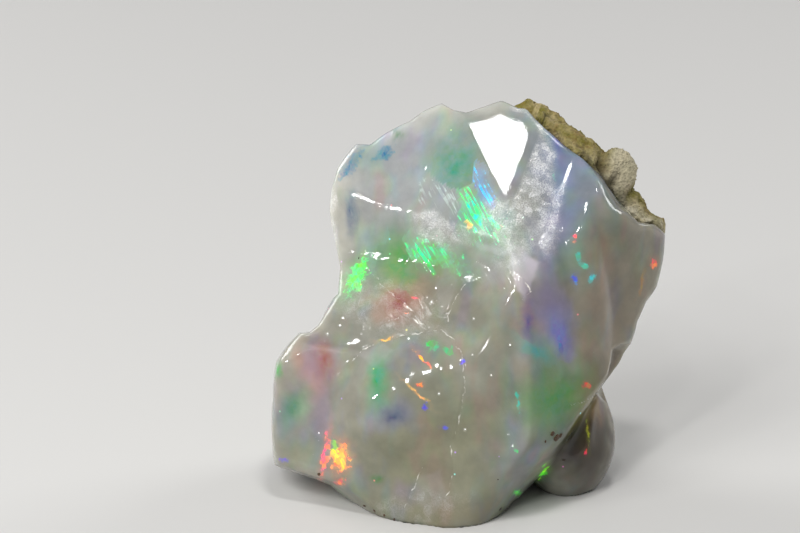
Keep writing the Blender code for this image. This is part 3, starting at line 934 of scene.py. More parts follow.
# %% Frost on the skin
FROST_SPOTS = {
    "band": ((5.7, 11.6), (1.2, 4.4), 3, 0.75),
    "band_foot": ((3.8, 9.2), (2.4, 1.2), 38, 0.7),
    "band_top": ((4.9, 15.9), (1.3, 0.9), 0, 0.6),
    "fold": ((-1.2, 7.8), (2.0, 0.8), -22, 0.42),
    "ledges": ((-4.6, 2.2), (4.2, 1.9), -20, 0.14),
    "foot": ((-2.6, -11.6), (3.2, 1.2), 8, 0.14),
    "left_rim": ((-8.8, 8.5), (0.5, 3.5), 0, 0.4),
    "veil": ((4.0, 6.6), (1.2, 1.6), -30, 0.4),
}
FROST_WANDER = 0.5
FROST_PATCH = 0.8
FROST_PATCHES = (-0.5, 0.6)
FROST_LEFT = 0.45
BAND_FROST = (0.35, 0.5)
CRACK_WANDER = 0.12


def lay_frost(points, front):
    places = wandered(points[:, :2], points, FROST_WANDER, 1.4, 29.0)
    frost = np.zeros(len(points))
    for middle, half, turn, strength in FROST_SPOTS.values():
        frost = np.maximum(frost, oval(places, middle, half, turn) * strength * front)
    broken = ramp(sampled(points, FROST_PATCH, 3, seed=47.0), *FROST_PATCHES)
    frost *= FROST_LEFT + (1.0 - FROST_LEFT) * broken
    least, more = BAND_FROST
    frost = np.maximum(frost, on_break(points, "frosted_band") * front * (least + more * broken))
    return frost * (1.0 - on_break(points, "mirror_facet"))


def crack_distance(points, front):
    """How far each vertex is from the nearest crack, in millimetres, so that cracks stay thin."""
    places = wandered(points[:, :2], points, CRACK_WANDER, 0.6, 53.0)
    nearest = np.min([line_distance(places, line) for line in CRACKS.values()], axis=0)
    return nearest + (1.0 - front)


skin_frost = lay_frost(skin_points, on_front)
skin_crack = crack_distance(skin_points, on_front)
print("frosted share:", round(float((skin_frost > 0.3).mean()), 3))

# %% Put the skin together


def keep_values(mesh, name, values):
    """Stores a value or a colour for each vertex, for the material to read."""
    if values.ndim == 1:
        layer = mesh.attributes.new(name, "FLOAT", "POINT")
        layer.data.foreach_set("value", values.astype(np.float32))
        return
    layer = mesh.attributes.new(name, "FLOAT_COLOR", "POINT")
    colours = np.ones((len(values), 4), dtype=np.float32)
    colours[:, :3] = values
    layer.data.foreach_set("color", colours.ravel())


def finished_piece(name, ball, points):
    """A mesh object at the origin, from vertices given in upright millimetres."""
    mesh = bpy.data.meshes.new(name)
    ball.to_mesh(mesh)
    ball.free()
    mesh.vertices.foreach_set("co", (points * MM).ravel())
    mesh.update()
    mesh.polygons.foreach_set("use_smooth", np.ones(len(mesh.polygons), dtype=bool))
    piece = bpy.data.objects.new(name, mesh)
    bpy.context.scene.collection.objects.link(piece)
    return piece


opal_body = finished_piece("opal_body", skin_ball, to_stone(skin_points))
SKIN_VALUES = {
    "tone": skin_tone, "fire": skin_fire, "inside": skin_inside, "crisp": skin_crisp,
    "streak": skin_streak, "frost": skin_frost, "crack": skin_crack,
}
for value_name, values in SKIN_VALUES.items():
    keep_values(opal_body.data, value_name, values)
print("opal skin:", len(opal_body.data.polygons), "quads")

# %% [markdown]
# ## Rind of host rock
# The rock that the opal grew in is brown, dull and lumpy. It grips the opal, so its inner side has
# to follow the stone. A square grid is spread over a disc and bent round the opal, out to a
# wandering, ragged edge. The inner side lies just under the skin, and the outer side is pushed out
# by several sizes of lumps, with pits between them and one round knob that the photo shows.

# %% Edge of the rind
RIND_AXIS = (0.586, 0.742, 0.326)
RIND_HALF_ANGLE = math.radians(29.0)
RIND_WANDER = math.radians(3.5)
RAGGED_EDGE = math.radians(2.8)
WANDER_PITCH = 5.0
RAGGED_PITCH = 7.0
RAGGED_ROUGHNESS = 1.1
RAGGED_STEP = 2.2
RAGGED_OCTAVES = 4
BARE_SPOT = (0.27, 0.955, 0.05)
BARE_WIDTH = math.radians(10.0)
BARE_DEPTH = math.radians(6.5)
RIND_CUTS = 150
FIRST_THICKNESS = 0.02


def disc_from_square(right, up):
    """Spreads a square grid evenly over a disc."""
    wide = np.abs(right) > np.abs(up)
    radius = np.where(wide, right, up)
    ratio = np.where(wide, up, right) / np.where(radius == 0, 1.0, radius)
    turn = np.where(wide, ratio, 2.0 - ratio) * math.pi / 4
    return radius * np.cos(turn), radius * np.sin(turn)


def aimed(share, turn, half_angle):
    """Directions at a share of the half angle from the rind's middle, on each side of it."""
    axis = unit(RIND_AXIS)
    side = unit(np.cross(axis, [0.0, 0.0, 1.0]))
    above = np.cross(side, axis)
    away = share * half_angle
    ring = np.cos(turn)[:, None] * side + np.sin(turn)[:, None] * above
    return np.cos(away)[:, None] * axis + np.sin(away)[:, None] * ring


def angle_from(facing, spot):
    return np.arccos(np.clip(facing @ unit(spot), -1, 1))


def edge_of_rind(turn):
    """Angle from the middle of the rind to its wandering, ragged edge, at each turn round it."""
    rim = aimed(np.ones(len(turn)), turn, np.full(len(turn), RIND_HALF_ANGLE))
    wander = np.array([noise.noise(Vector(spot * WANDER_PITCH)) for spot in rim])
    ragged = np.array([
        noise.fractal(Vector(spot * RAGGED_PITCH), RAGGED_ROUGHNESS, RAGGED_STEP, RAGGED_OCTAVES)
        for spot in rim
    ])
    bare = np.exp(-((angle_from(rim, BARE_SPOT) / BARE_WIDTH) ** 2))
    return RIND_HALF_ANGLE - wander * RIND_WANDER + ragged * RAGGED_EDGE - bare * BARE_DEPTH


print("rind:", round(math.degrees(2 * RIND_HALF_ANGLE)), "degrees wide")

# %% A patch of quads for the rind


def rind_grid():
    """A patch of quads with its outer and inner side, and which vertices are on the outer one."""
    grid = bmesh.new()
    bmesh.ops.create_grid(grid, x_segments=RIND_CUTS, y_segments=RIND_CUTS, size=1.0)
    flat = np.array([vertex.co for vertex in grid.verts])
    right, up = disc_from_square(flat[:, 0], flat[:, 1])
    share = np.hypot(right, up)
    turn = np.arctan2(up, right)
    facing = aimed(share, turn, edge_of_rind(turn))
    for vertex, place in zip(grid.verts, facing):
        vertex.co = place
    bmesh.ops.recalc_face_normals(grid, faces=grid.faces[:])
    if grid.faces[0].normal.dot(grid.faces[0].verts[0].co) < 0:
        bmesh.ops.reverse_faces(grid, faces=grid.faces[:])
    bmesh.ops.solidify(grid, geom=grid.faces[:], thickness=FIRST_THICKNESS)
    spots = np.array([vertex.co for vertex in grid.verts])
    lengths = np.linalg.norm(spots, axis=1)
    return grid, spots / lengths[:, None], lengths > lengths.mean()


rind_ball, rind_facing, rind_outer = rind_grid()
rind_base = opal_reach(rind_facing)
rind_away = angle_from(rind_facing, RIND_AXIS) / RIND_HALF_ANGLE
rind_spots = rind_facing * rind_base[:, None]
print("rind patch:", len(rind_ball.faces), "quads")

# %% Lumps, crumbs and grit
LUMPY_SIZE = 2.3
LUMPY_HEIGHT = 0.35
LUMP_SIZE = 1.25
LUMP_HEIGHT = 0.60
CRUMB_SIZE = 0.48
CRUMB_HEIGHT = 0.14
CRUMB_FLOOR = 0.6
GRIT_SIZE = 0.45
GRIT_HEIGHT = 0.10
OFF_THE_SKIN = 0.3


def bulge(points, size, seed):
    """Round swellings of a given size that meet in narrow valleys, from 0 to 1."""
    nearest = cell_distance(points, size, seed)
    return np.sqrt(np.clip(1.0 - (nearest / WIDEST_CELL) ** 2, 0.0, 1.0))


big_lumps = sampled(rind_spots + OFF_THE_SKIN, LUMPY_SIZE, 3) * LUMPY_HEIGHT
small_lumps = bulge(rind_spots, LUMP_SIZE, 4.0) * LUMP_HEIGHT - LUMP_HEIGHT * 0.5
crumbs = (bulge(rind_spots, CRUMB_SIZE, 11.0) - CRUMB_FLOOR) * CRUMB_HEIGHT
grit = sampled(rind_spots, GRIT_SIZE, 3, seed=9.0) * GRIT_HEIGHT
print("big lumps from", round(float(big_lumps.min()), 2), "to", round(float(big_lumps.max()), 2), "mm")

# %% The knob, its groove and its pit
KNOB_SPOT = (0.704, 0.714, -0.05)
KNOB_RADIUS = math.radians(5.4)
KNOB_HEIGHT = 1.20
KNOB_WANDER = 0.18
GROOVE_RING = 1.12 * KNOB_RADIUS
GROOVE_WIDTH = math.radians(1.3)
GROOVE_DEPTH = 0.55
GROOVE_LEFT = 0.15
GROOVE_FADE = (0.02, -0.06)
PIT_SPOT = (0.690, 0.700, -0.11)
PIT_WIDTH = math.radians(1.1)
PIT_DEPTH = 0.55

knob_wander = sampled(rind_spots, 1.2, 2, seed=15.0) * KNOB_WANDER
from_knob = angle_from(rind_facing, KNOB_SPOT) * (1.0 + knob_wander)
knob = np.sqrt(np.clip(1.0 - (from_knob / KNOB_RADIUS) ** 2, 0.0, 1.0))
groove_ends = ramp(rind_facing[:, 2] - KNOB_SPOT[2], *GROOVE_FADE)
groove = np.exp(-(((from_knob - GROOVE_RING) / GROOVE_WIDTH) ** 2))
groove *= groove_ends * (1.0 - GROOVE_LEFT) + GROOVE_LEFT
pit = np.exp(-((angle_from(rind_facing, PIT_SPOT) / PIT_WIDTH) ** 2))
print("knob covers", int((knob > 0).sum()), "of", len(knob), "vertices")

# %% Height of the rind over the opal
NODE_GAP = 0.3
RIND_THICKNESS = 0.75
RIND_EDGE = 0.25
RIND_SHOULDER = (1.0, 0.72)
RIND_SINK = 0.08
LEAST_RIND = 0.12
KNOB_CALM = 0.6
EDGE_GRIT = 0.3

rind_shoulder = ramp(rind_away, *RIND_SHOULDER)
rind_lumps = (big_lumps + small_lumps) * (1.0 - KNOB_CALM * knob) + knob * KNOB_HEIGHT
rind_height = RIND_EDGE + rind_shoulder * (RIND_THICKNESS + NODE_GAP + rind_lumps)
rind_height += (grit + crumbs) * (EDGE_GRIT + (1.0 - EDGE_GRIT) * rind_shoulder)
rind_height = rind_height - groove * GROOVE_DEPTH - pit * PIT_DEPTH
rind_height = np.maximum(rind_height, LEAST_RIND)
rind_reach = rind_base + np.where(rind_outer, rind_height, -RIND_SINK)
print("rind from", round(float(rind_height.min()), 2), "to", round(float(rind_height.max()), 2), "mm")

# %% Put the rind together
SHADE_BELOW = (0.10, -0.26)
CRUST_RIM = (0.80, 0.98)
CRUST_PATCH = 0.9
CRUST_PATCHES = (-0.4, 0.4)
CRUST_TOP = (0.84, 0.70)
KNOB_PALE = (0.3, 0.8)
KNOB_PALENESS = 0.7

# Painted shade: darker in the low places between the lumps, and nearly black in the groove under the
# knob and in the pit.
rind_hollow_shade = ramp(small_lumps + 0.5 * big_lumps + 2.0 * crumbs + grit, *SHADE_BELOW)
rind_hollow_shade = np.clip(rind_hollow_shade * (1.0 - knob) + groove + pit, 0.0, 1.0)
crust_patches = ramp(sampled(rind_spots, CRUST_PATCH, 2, lacunarity=6.0), *CRUST_PATCHES)
rind_pale = ramp(rind_away, *CRUST_RIM) * (0.5 + 0.5 * crust_patches)
rind_pale *= ramp(rind_facing[:, 1], *CRUST_TOP)
rind_pale = np.maximum(rind_pale, ramp(knob, *KNOB_PALE) * KNOB_PALENESS)
matrix_crust = finished_piece("matrix_crust", rind_ball, to_stone(rind_facing * rind_reach[:, None]))
keep_values(matrix_crust.data, "dark", rind_hollow_shade)
keep_values(matrix_crust.data, "pale", rind_pale)
print("rind:", len(matrix_crust.data.polygons), "quads")

# %% [markdown]
# ## Specks of dark mineral
# A few black and brown grains sit half in the surface of the opal. They are real bits that catch
# the light, so each is a small angular pebble sunk into the skin at its own spot.

# %% Dark specks in the skin
SPECKS = [
    (6.7, -6.4, 0.16), (7.0, -6.7, 0.2), (7.3, -6.55, 0.13), (6.2, -6.95, 0.11), (3.1, -11.75, 0.13),
    (7.6, -8.4, 0.1), (-6.4, -11.6, 0.12), (-5.7, -11.9, 0.1), (-5.0, -12.2, 0.14),
    (-4.3, -12.5, 0.1), (-3.6, -12.9, 0.13), (-3.0, -13.0, 0.1), (0.4, -13.0, 0.12),
    (-6.8, 5.8, 0.07), (2.9, -9.6, 0.06), (-9.6, -9.4, 0.08),
]
SPECK_SEED = 5
SPECK_STRETCH = (0.6, 1.6)
SPECK_FLATNESS = 0.55
SPECK_BUMPS = 0.35
SPECK_BUMP_PITCH = 1.4
LEAST_CLEARANCE = 0.02


def lay_specks(specks, seed):
    chance = random.Random(seed)
    grains = bmesh.new()
    for across, up, size in specks:
        here, outward = front_spot(across, up)
        made = bmesh.ops.create_icosphere(grains, subdivisions=2, radius=1.0)
        turn = Vector(outward).to_track_quat("Z", "Y")
        wide = chance.uniform(*SPECK_STRETCH)
        tall = chance.uniform(*SPECK_STRETCH)
        shape = Vector((wide, tall, SPECK_FLATNESS)) * size
        for vertex in made["verts"]:
            spot = vertex.co * SPECK_BUMP_PITCH + Vector((across, up, 0))
            bump = 1.0 + SPECK_BUMPS * noise.noise(spot)
            vertex.co = Vector(here) + turn @ (vertex.co * shape * bump)
            vertex.co.z = max(vertex.co.z, LEAST_CLEARANCE)
    return grains


speck_bits = lay_specks(SPECKS, SPECK_SEED)
speck_points = np.array([vertex.co for vertex in speck_bits.verts])
mineral_specks = finished_piece("mineral_specks", speck_bits, speck_points)
print(len(SPECKS), "specks")

# %% [markdown]
# ## Shader helpers
# Every material here is a small tree of nodes. These helpers keep the code about the stone and not
# about the plumbing: some start a material, add a node or join two sockets, and the others
# calculate with values, mix colours and make soft clouds. Object coordinates are in metres, so a
# pattern of one millimetre has a scale of a thousand.

# %% Start a material, add a node, join two sockets
PER_MM = 1.0 / MM


def start_material(name):
    material = bpy.data.materials.new(name)
    material.use_nodes = True
    return material, material.node_tree, material.node_tree.nodes["Principled BSDF"]


def add_node(tree, kind, **settings):
    node = tree.nodes.new(kind)
    for name, value in settings.items():
        setattr(node, name, value)
    return node


def join(tree, output, socket):
    tree.links.new(output, socket)


print("one millimetre is a texture scale of", PER_MM)

# %% Calculate with values


def calculate(tree, operation, first, second=0.0, clamp=False):
    """A Math node. Each input is a number or another node's output."""
    node = add_node(tree, "ShaderNodeMath", operation=operation, use_clamp=clamp)
    for socket, value in zip(node.inputs, (first, second)):
        if isinstance(value, (int, float)):
            socket.default_value = value
        else:
            join(tree, value, socket)
    return node.outputs[0]


def times(tree, first, second, clamp=False):
    return calculate(tree, "MULTIPLY", first, second, clamp)


def plus(tree, first, second, clamp=False):
    return calculate(tree, "ADD", first, second, clamp)


def minus(tree, first, second):
    return calculate(tree, "SUBTRACT", first, second)


def scaled(tree, value, gain, base, clamp=False):
    """The value times a gain, plus a base. The base is a number or another node's output."""
    return plus(tree, times(tree, value, gain), base, clamp)


def steeper(tree, value, middle, gain):
    """Makes a soft value steeper around its middle, from 0 to 1."""
    return scaled(tree, minus(tree, value, middle), gain, 0.5, clamp=True)


print("calculations:", [helper.__name__ for helper in (times, plus, minus, scaled, steeper)])

# %% Mix colours, read kept values, make clouds


def blend_colours(tree, share, first, second, mode="MIX"):
    """A Mix Color node. Each colour is three numbers or another node's output."""
    node = add_node(tree, "ShaderNodeMix", data_type="RGBA", blend_type=mode)
    sockets = {"Factor_Float": share, "A_Color": first, "B_Color": second}
    for socket in node.inputs:
        value = sockets.get(socket.identifier)
        if value is None:
            continue
        if isinstance(value, (int, float)):
            socket.default_value = value
        elif isinstance(value, tuple):
            socket.default_value = (*value, 1.0)
        else:
            join(tree, value, socket)
    return next(out for out in node.outputs if out.identifier == "Result_Color")


def kept_value(tree, name, output="Fac"):
    node = add_node(tree, "ShaderNodeAttribute", attribute_name=name)
    return node.outputs[output]


def cloud(tree, place, size, detail=3.0, rough=0.55):
    """A Noise Texture whose lumps have a size in millimetres."""
    node = add_node(tree, "ShaderNodeTexNoise")
    node.inputs["Scale"].default_value = PER_MM / size
    node.inputs["Detail"].default_value = detail
    node.inputs["Roughness"].default_value = rough
    join(tree, place, node.inputs["Vector"])
    return node.outputs["Fac"]


print("helpers:", [helper.__name__ for helper in (blend_colours, kept_value, cloud)])

# %% [markdown]
# ## A shared effect: broken grain
# Frosted opal, host rock and mineral specks all have fine broken grain, only at different sizes.
# A node group holds it once: small cells and soft noise are mixed, and the group gives back a
# value for colour and a height for bump.

# %% The broken grain group
GRAIN_DETAIL = 5.0
GRAIN_MIDDLE = 0.95


def make_grain_group():
    group = bpy.data.node_groups.new("broken_grain", "ShaderNodeTree")
    for name, kind, value in (("Place", "NodeSocketVector", None), ("Size", "NodeSocketFloat", 1.0),
                              ("Contrast", "NodeSocketFloat", 1.0)):
        socket = group.interface.new_socket(name, in_out="INPUT", socket_type=kind)
        if value is not None:
            socket.default_value = value
    for name in ("Value", "Height"):
        group.interface.new_socket(name, in_out="OUTPUT", socket_type="NodeSocketFloat")
    inside = add_node(group, "NodeGroupInput")
    outside = add_node(group, "NodeGroupOutput")
    scale = calculate(group, "DIVIDE", PER_MM, inside.outputs["Size"])
    cells = add_node(group, "ShaderNodeTexVoronoi", feature="F1")
    soft = add_node(group, "ShaderNodeTexNoise")
    soft.inputs["Detail"].default_value = GRAIN_DETAIL
    for texture in (cells, soft):
        join(group, inside.outputs["Place"], texture.inputs["Vector"])
        join(group, scale, texture.inputs["Scale"])
    height = plus(group, cells.outputs["Distance"], soft.outputs["Fac"])
    centred = minus(group, height, GRAIN_MIDDLE)
    value = scaled(group, centred, inside.outputs["Contrast"], 0.5, clamp=True)
    join(group, value, outside.inputs["Value"])
    join(group, height, outside.inputs["Height"])
    return group


GRAIN_GROUP = make_grain_group()
print("group inputs:", [item.name for item in GRAIN_GROUP.interface.items_tree])

# %% Use the grain, and bump a surface


def broken_grain(tree, place, size, contrast=1.0):
    node = add_node(tree, "ShaderNodeGroup", node_tree=GRAIN_GROUP)
    join(tree, place, node.inputs["Place"])
    node.inputs["Size"].default_value = size
    node.inputs["Contrast"].default_value = contrast
    return node.outputs["Value"], node.outputs["Height"]


def add_bump(tree, shader, height, distance, strength=1.0):
    bump = add_node(tree, "ShaderNodeBump")
    bump.inputs["Strength"].default_value = strength
    bump.inputs["Distance"].default_value = distance * MM
    join(tree, height, bump.inputs["Height"])
    join(tree, bump.outputs["Normal"], shader.inputs["Normal"])


print("helpers:", broken_grain.__name__, "and", add_bump.__name__)

# %% [markdown]
# ## The opal's material
# Light goes a little way into milky opal before it comes out, so the shader uses subsurface
# scattering under a glassy surface. The kept body colour is varied by soft clouds. The flashes are
# added twice: as colour, and as a faint light of their own, because a real flash stays vivid
# where the lamp's shadow dulls the milk around it. Streaks cut the flashes into thin parallel
# bars, and frost turns the gloss dull and pale. The glints on the front, the white pin points on
# the frost and a faint glow along the cracks are painted highlights, added as light. Where a pair
# of numbers follows a name below, it is either the size in millimetres and the detail of a cloud,
# or a gain and a base.

# %% Streaks and cells
STREAK_TURN = math.radians(-57.0)
STREAK_STRETCH = 8.0
STREAK_PITCH = 0.21
STREAK_DETAIL = 1.5
STREAK_EDGE = (0.56, 8.0)


def streaks(tree, place):
    """Thin parallel bars that run down to the right over the face."""
    turned = add_node(tree, "ShaderNodeMapping")
    turned.inputs["Rotation"].default_value = (0.0, STREAK_TURN, 0.0)
    squeezed = add_node(tree, "ShaderNodeMapping")
    squeezed.inputs["Scale"].default_value = (1 / STREAK_STRETCH, 1 / STREAK_STRETCH, 1.0)
    join(tree, place, turned.inputs["Vector"])
    join(tree, turned.outputs["Vector"], squeezed.inputs["Vector"])
    bars = cloud(tree, squeezed.outputs["Vector"], STREAK_PITCH, STREAK_DETAIL)
    return steeper(tree, bars, *STREAK_EDGE)


def cells_of(tree, place, size):
    """Distance to the middle of the nearest cell, and that cell's own random colour."""
    cells = add_node(tree, "ShaderNodeTexVoronoi", feature="F1")
    cells.inputs["Scale"].default_value = PER_MM / size
    join(tree, place, cells.inputs["Vector"])
    split = add_node(tree, "ShaderNodeSeparateColor")
    join(tree, cells.outputs["Color"], split.inputs[0])
    return cells.outputs["Distance"], split


print("streaks are", STREAK_PITCH, "mm apart")

# %% Light of the flashes
RAGGED_CLOUD = (0.4, 5.0)
RAGGEDNESS = 1.1
CORE_LEVEL = 0.55
CORE_STEEPNESS = 5.0
HALO_CLOUD = (0.9, 4.0)
HALO_LIGHT = (0.9, 0.35)
FLECK_SIZE = 0.34
FLECK_LIGHT = (0.8, 0.35)


def flash_light(tree, place, bars):
    """How strongly the kept flash shines here: a soft halo with a ragged, broken core."""
    inside = kept_value(tree, "inside")
    crisp = kept_value(tree, "crisp")
    ragged = times(tree, minus(tree, cloud(tree, place, *RAGGED_CLOUD), 0.5), RAGGEDNESS)
    level = minus(tree, plus(tree, inside, ragged), CORE_LEVEL)
    core = times(tree, level, CORE_STEEPNESS, clamp=True)
    _, cell = cells_of(tree, place, FLECK_SIZE)
    flecks = scaled(tree, cell.outputs[1], *FLECK_LIGHT)
    gap = times(tree, kept_value(tree, "streak"), minus(tree, 1.0, bars))
    core = times(tree, core, times(tree, flecks, minus(tree, 1.0, gap)))
    halo = times(tree, times(tree, inside, inside), cloud(tree, place, *HALO_CLOUD))
    bright = times(tree, core, crisp)
    faint = times(tree, halo, scaled(tree, minus(tree, 1.0, crisp), *HALO_LIGHT))
    return bright, faint, cell


print("flecks are", FLECK_SIZE, "mm wide")

# %% Pinfire and painted sparkle
PINFIRE = {"spacing": 1.1, "radius": 0.085, "steepness": 18.0, "rarity": 0.72}
PINFIRE_PURITY = 0.85
PINFIRE_LIGHT = 0.7
SPARKLE = {"spacing": 0.30, "radius": 0.16, "steepness": 14.0, "rarity": 0.62}


def rare_dots(tree, place, spacing, radius, steepness, rarity):
    """A round dot in the middle of a few cells, and each cell's own random colour."""
    away, cell = cells_of(tree, place, spacing)
    dot = times(tree, minus(tree, radius, away), steepness, clamp=True)
    return times(tree, dot, calculate(tree, "GREATER_THAN", cell.outputs[0], rarity)), cell


def pinfire(tree, place):
    """Rare pin points of pure colour all through the stone."""
    dots, cell = rare_dots(tree, place, **PINFIRE)
    colour = add_node(tree, "ShaderNodeCombineColor", mode="HSV")
    join(tree, cell.outputs[1], colour.inputs[0])
    colour.inputs[1].default_value = PINFIRE_PURITY
    join(tree, times(tree, dots, PINFIRE_LIGHT), colour.inputs[2])
    return colour.outputs[0]


def painted_sparkle(tree, place, frost):
    """Painted glints: white pin points of light on the frosted parts."""
    dots, _ = rare_dots(tree, place, **SPARKLE)
    return times(tree, dots, frost)


print("a pin point in each", PINFIRE["spacing"], "mm at most")

# %% Body, frost and cracks
MILK_CLOUD = (1.5, 5.0)
MILK_LIGHT = (0.5, 0.75)
FROST_GRAINS = (0.10, 1.8)
FLAKE_OF_FROST = 0.6
FLAKE_LEAST = 0.45
GRAIN_LEAST = 0.4
CRACK_WIDTH = 0.05
CRACK_REACH = 0.095
CRACK_CLOUD = (0.5, 3.0)
CRACK_SWING = 0.09
CRACK_GAP_CLOUD = (0.6, 2.0)
CRACK_GAPS = (0.5, 6.0)


def milky_body(tree, place):
    milk = scaled(tree, cloud(tree, place, *MILK_CLOUD), *MILK_LIGHT)
    return blend_colours(tree, 1.0, kept_value(tree, "tone", "Color"), milk, "MULTIPLY")


def crushed_frost(tree, place, frost):
    """How crushed the surface is here, in flakes and grains, and the height of those grains."""
    grain, grain_height = broken_grain(tree, place, *FROST_GRAINS)
    _, flake = cells_of(tree, place, FLAKE_OF_FROST)
    flaky = times(tree, frost, plus(tree, flake.outputs[1], FLAKE_LEAST))
    return times(tree, flaky, plus(tree, grain, GRAIN_LEAST), clamp=True), grain_height


def broken_cracks(tree, place):
    """1 in a crack, with gaps along it."""
    wander = times(tree, cloud(tree, place, *CRACK_CLOUD), CRACK_SWING)
    from_crack = plus(tree, kept_value(tree, "crack"), wander)
    crack = times(tree, minus(tree, CRACK_REACH, from_crack), 1.0 / CRACK_WIDTH, clamp=True)
    return times(tree, crack, steeper(tree, cloud(tree, place, *CRACK_GAP_CLOUD), *CRACK_GAPS))


print("cracks are", CRACK_WIDTH, "mm wide")

# %% The opal's colour
HUE_SHIFT = (0.06, 0.47)
BRIGHT_COVER = 0.6
FAINT_COVER = 1.3
FROST_COLOUR = (0.86, 0.86, 0.85)
FROST_COVER = 0.8
CRACK_COLOUR = (0.80, 0.78, 0.72)


def shifted_fire(tree, cell):
    """The kept flash colour, a little different in each fleck."""
    shifted = add_node(tree, "ShaderNodeHueSaturation")
    join(tree, scaled(tree, cell.outputs[0], *HUE_SHIFT), shifted.inputs["Hue"])
    join(tree, kept_value(tree, "fire", "Color"), shifted.inputs["Color"])
    return shifted.outputs["Color"]


def opal_colour(tree, body, fire, bright, faint, crushed, crack):
    cover = scaled(tree, bright, BRIGHT_COVER, times(tree, faint, FAINT_COVER), clamp=True)
    coloured = blend_colours(tree, cover, body, fire)
    frosted = blend_colours(tree, times(tree, crushed, FROST_COVER), coloured, FROST_COLOUR)
    # Pale crack lines: partly the cracks' own whiteness, partly painted highlight where their edges
    # catch the lamp.
    return blend_colours(tree, crack, frosted, CRACK_COLOUR)


print("frost hides", FROST_COVER, "of the colour below it at most")

# %% The opal's own light, gloss and relief
BRIGHT_LIGHT = 0.9
FAINT_LIGHT = 0.8
SPARKLE_LIGHT = 0.9
CRACK_LIGHT = 0.12
GLOSS = 0.05
FROST_ROUGHNESS = 0.38
SMEAR_CLOUD = (1.8, 3.0)
SMEAR = 0.03
FINE_CLOUD = (0.9, 4.0)
FINE_HEIGHT = 0.3
BAR_HEIGHT = 0.12
GLOSSY_GRAIN = 0.01
OPAL_BUMP = (0.05, 0.7)


def opal_light(tree, fire, bright, faint, pin_points, sparkle_glints, crack):
    shine = scaled(tree, bright, BRIGHT_LIGHT, times(tree, faint, FAINT_LIGHT))
    glow = blend_colours(tree, 1.0, fire, shine, "MULTIPLY")
    glow = blend_colours(tree, 1.0, glow, pin_points, "ADD")
    # Painted highlights: the sparkle glints on the frost glow white, and the cracks glow faintly.
    white = scaled(tree, sparkle_glints, SPARKLE_LIGHT, times(tree, crack, CRACK_LIGHT))
    return blend_colours(tree, 1.0, glow, white, "ADD")


def opal_roughness(tree, place, crushed):
    smear = times(tree, cloud(tree, place, *SMEAR_CLOUD), SMEAR)
    dull = times(tree, crushed, FROST_ROUGHNESS - GLOSS)
    return plus(tree, plus(tree, smear, dull), GLOSS)


def opal_height(tree, place, bars, frost, grain_height):
    fine = times(tree, cloud(tree, place, *FINE_CLOUD), FINE_HEIGHT)
    lines = times(tree, bars, times(tree, kept_value(tree, "streak"), BAR_HEIGHT))
    rough = times(tree, grain_height, plus(tree, frost, GLOSSY_GRAIN))
    return plus(tree, plus(tree, fine, lines), rough)


print("gloss", GLOSS, "and frost", FROST_ROUGHNESS)

# %% Put the opal's material together
SCATTER_WEIGHT = 0.8
SCATTER_MM = 3.0
SCATTER_TINT = (1.0, 0.92, 0.80)
OPAL_IOR = 1.45


def make_opal():
    material, tree, shader = start_material("precious_opal")
    place = add_node(tree, "ShaderNodeTexCoord").outputs["Object"]
    frost = kept_value(tree, "frost")
    body = milky_body(tree, place)
    bars = streaks(tree, place)
    bright, faint, cell = flash_light(tree, place, bars)
    fire = shifted_fire(tree, cell)
    crushed, grain_height = crushed_frost(tree, place, frost)
    crack = broken_cracks(tree, place)
    colour = opal_colour(tree, body, fire, bright, faint, crushed, crack)
    sparkle_glints = painted_sparkle(tree, place, frost)
    light = opal_light(tree, fire, bright, faint, pinfire(tree, place), sparkle_glints, crack)
    join(tree, colour, shader.inputs["Base Color"])
    join(tree, light, shader.inputs["Emission Color"])
    shader.inputs["Emission Strength"].default_value = 1.0
    join(tree, opal_roughness(tree, place, crushed), shader.inputs["Roughness"])
    shader.inputs["IOR"].default_value = OPAL_IOR
    shader.inputs["Subsurface Weight"].default_value = SCATTER_WEIGHT
    shader.inputs["Subsurface Radius"].default_value = SCATTER_TINT
    shader.inputs["Subsurface Scale"].default_value = SCATTER_MM * MM
    add_bump(tree, shader, opal_height(tree, place, bars, frost, grain_height), *OPAL_BUMP)
    return material


OPAL = make_opal()
opal_body.data.materials.append(OPAL)
print("opal material:", len(OPAL.node_tree.nodes), "nodes")

# %% [markdown]
# ## The rind's material
# Host rock is a clay-like brown stone with olive and rusty patches. It has no gloss. Its colour
# comes from soft noise at two sizes, from the kept dark value, which is painted shade, nearly black
# in the pits and the groove under the knob and darker in the low places between the lumps, and from
# the kept thin edge, where the opal shows through as a whitish crust.

# %% Host rock material
ROCK_BEIGE = tuple(linear((166, 151, 108)))
ROCK_OLIVE = tuple(linear((110, 103, 34)))
ROCK_RUST = tuple(linear((120, 92, 48)))
ROCK_HOLLOW_SHADE = tuple(linear((48, 41, 17)))
ROCK_CRUST = tuple(linear((192, 184, 160)))
ROCK_PATCH_CLOUD = (1.5, 5.0)
ROCK_PATCH_EDGE = (0.48, 4.0)
RUST_CLOUD = (1.1, 5.0)
RUST_EDGE = (0.6, 6.0)
RUST_COVER = 0.7
HOLLOW_SHADE_COVER = 0.85
ROCK_GRAINS = (0.22, 0.9)
ROCK_SHADE = (0.45, 0.75)
ROCK_DULLNESS = (0.12, 0.82)
ROCK_BUMP = (0.12, 0.9)


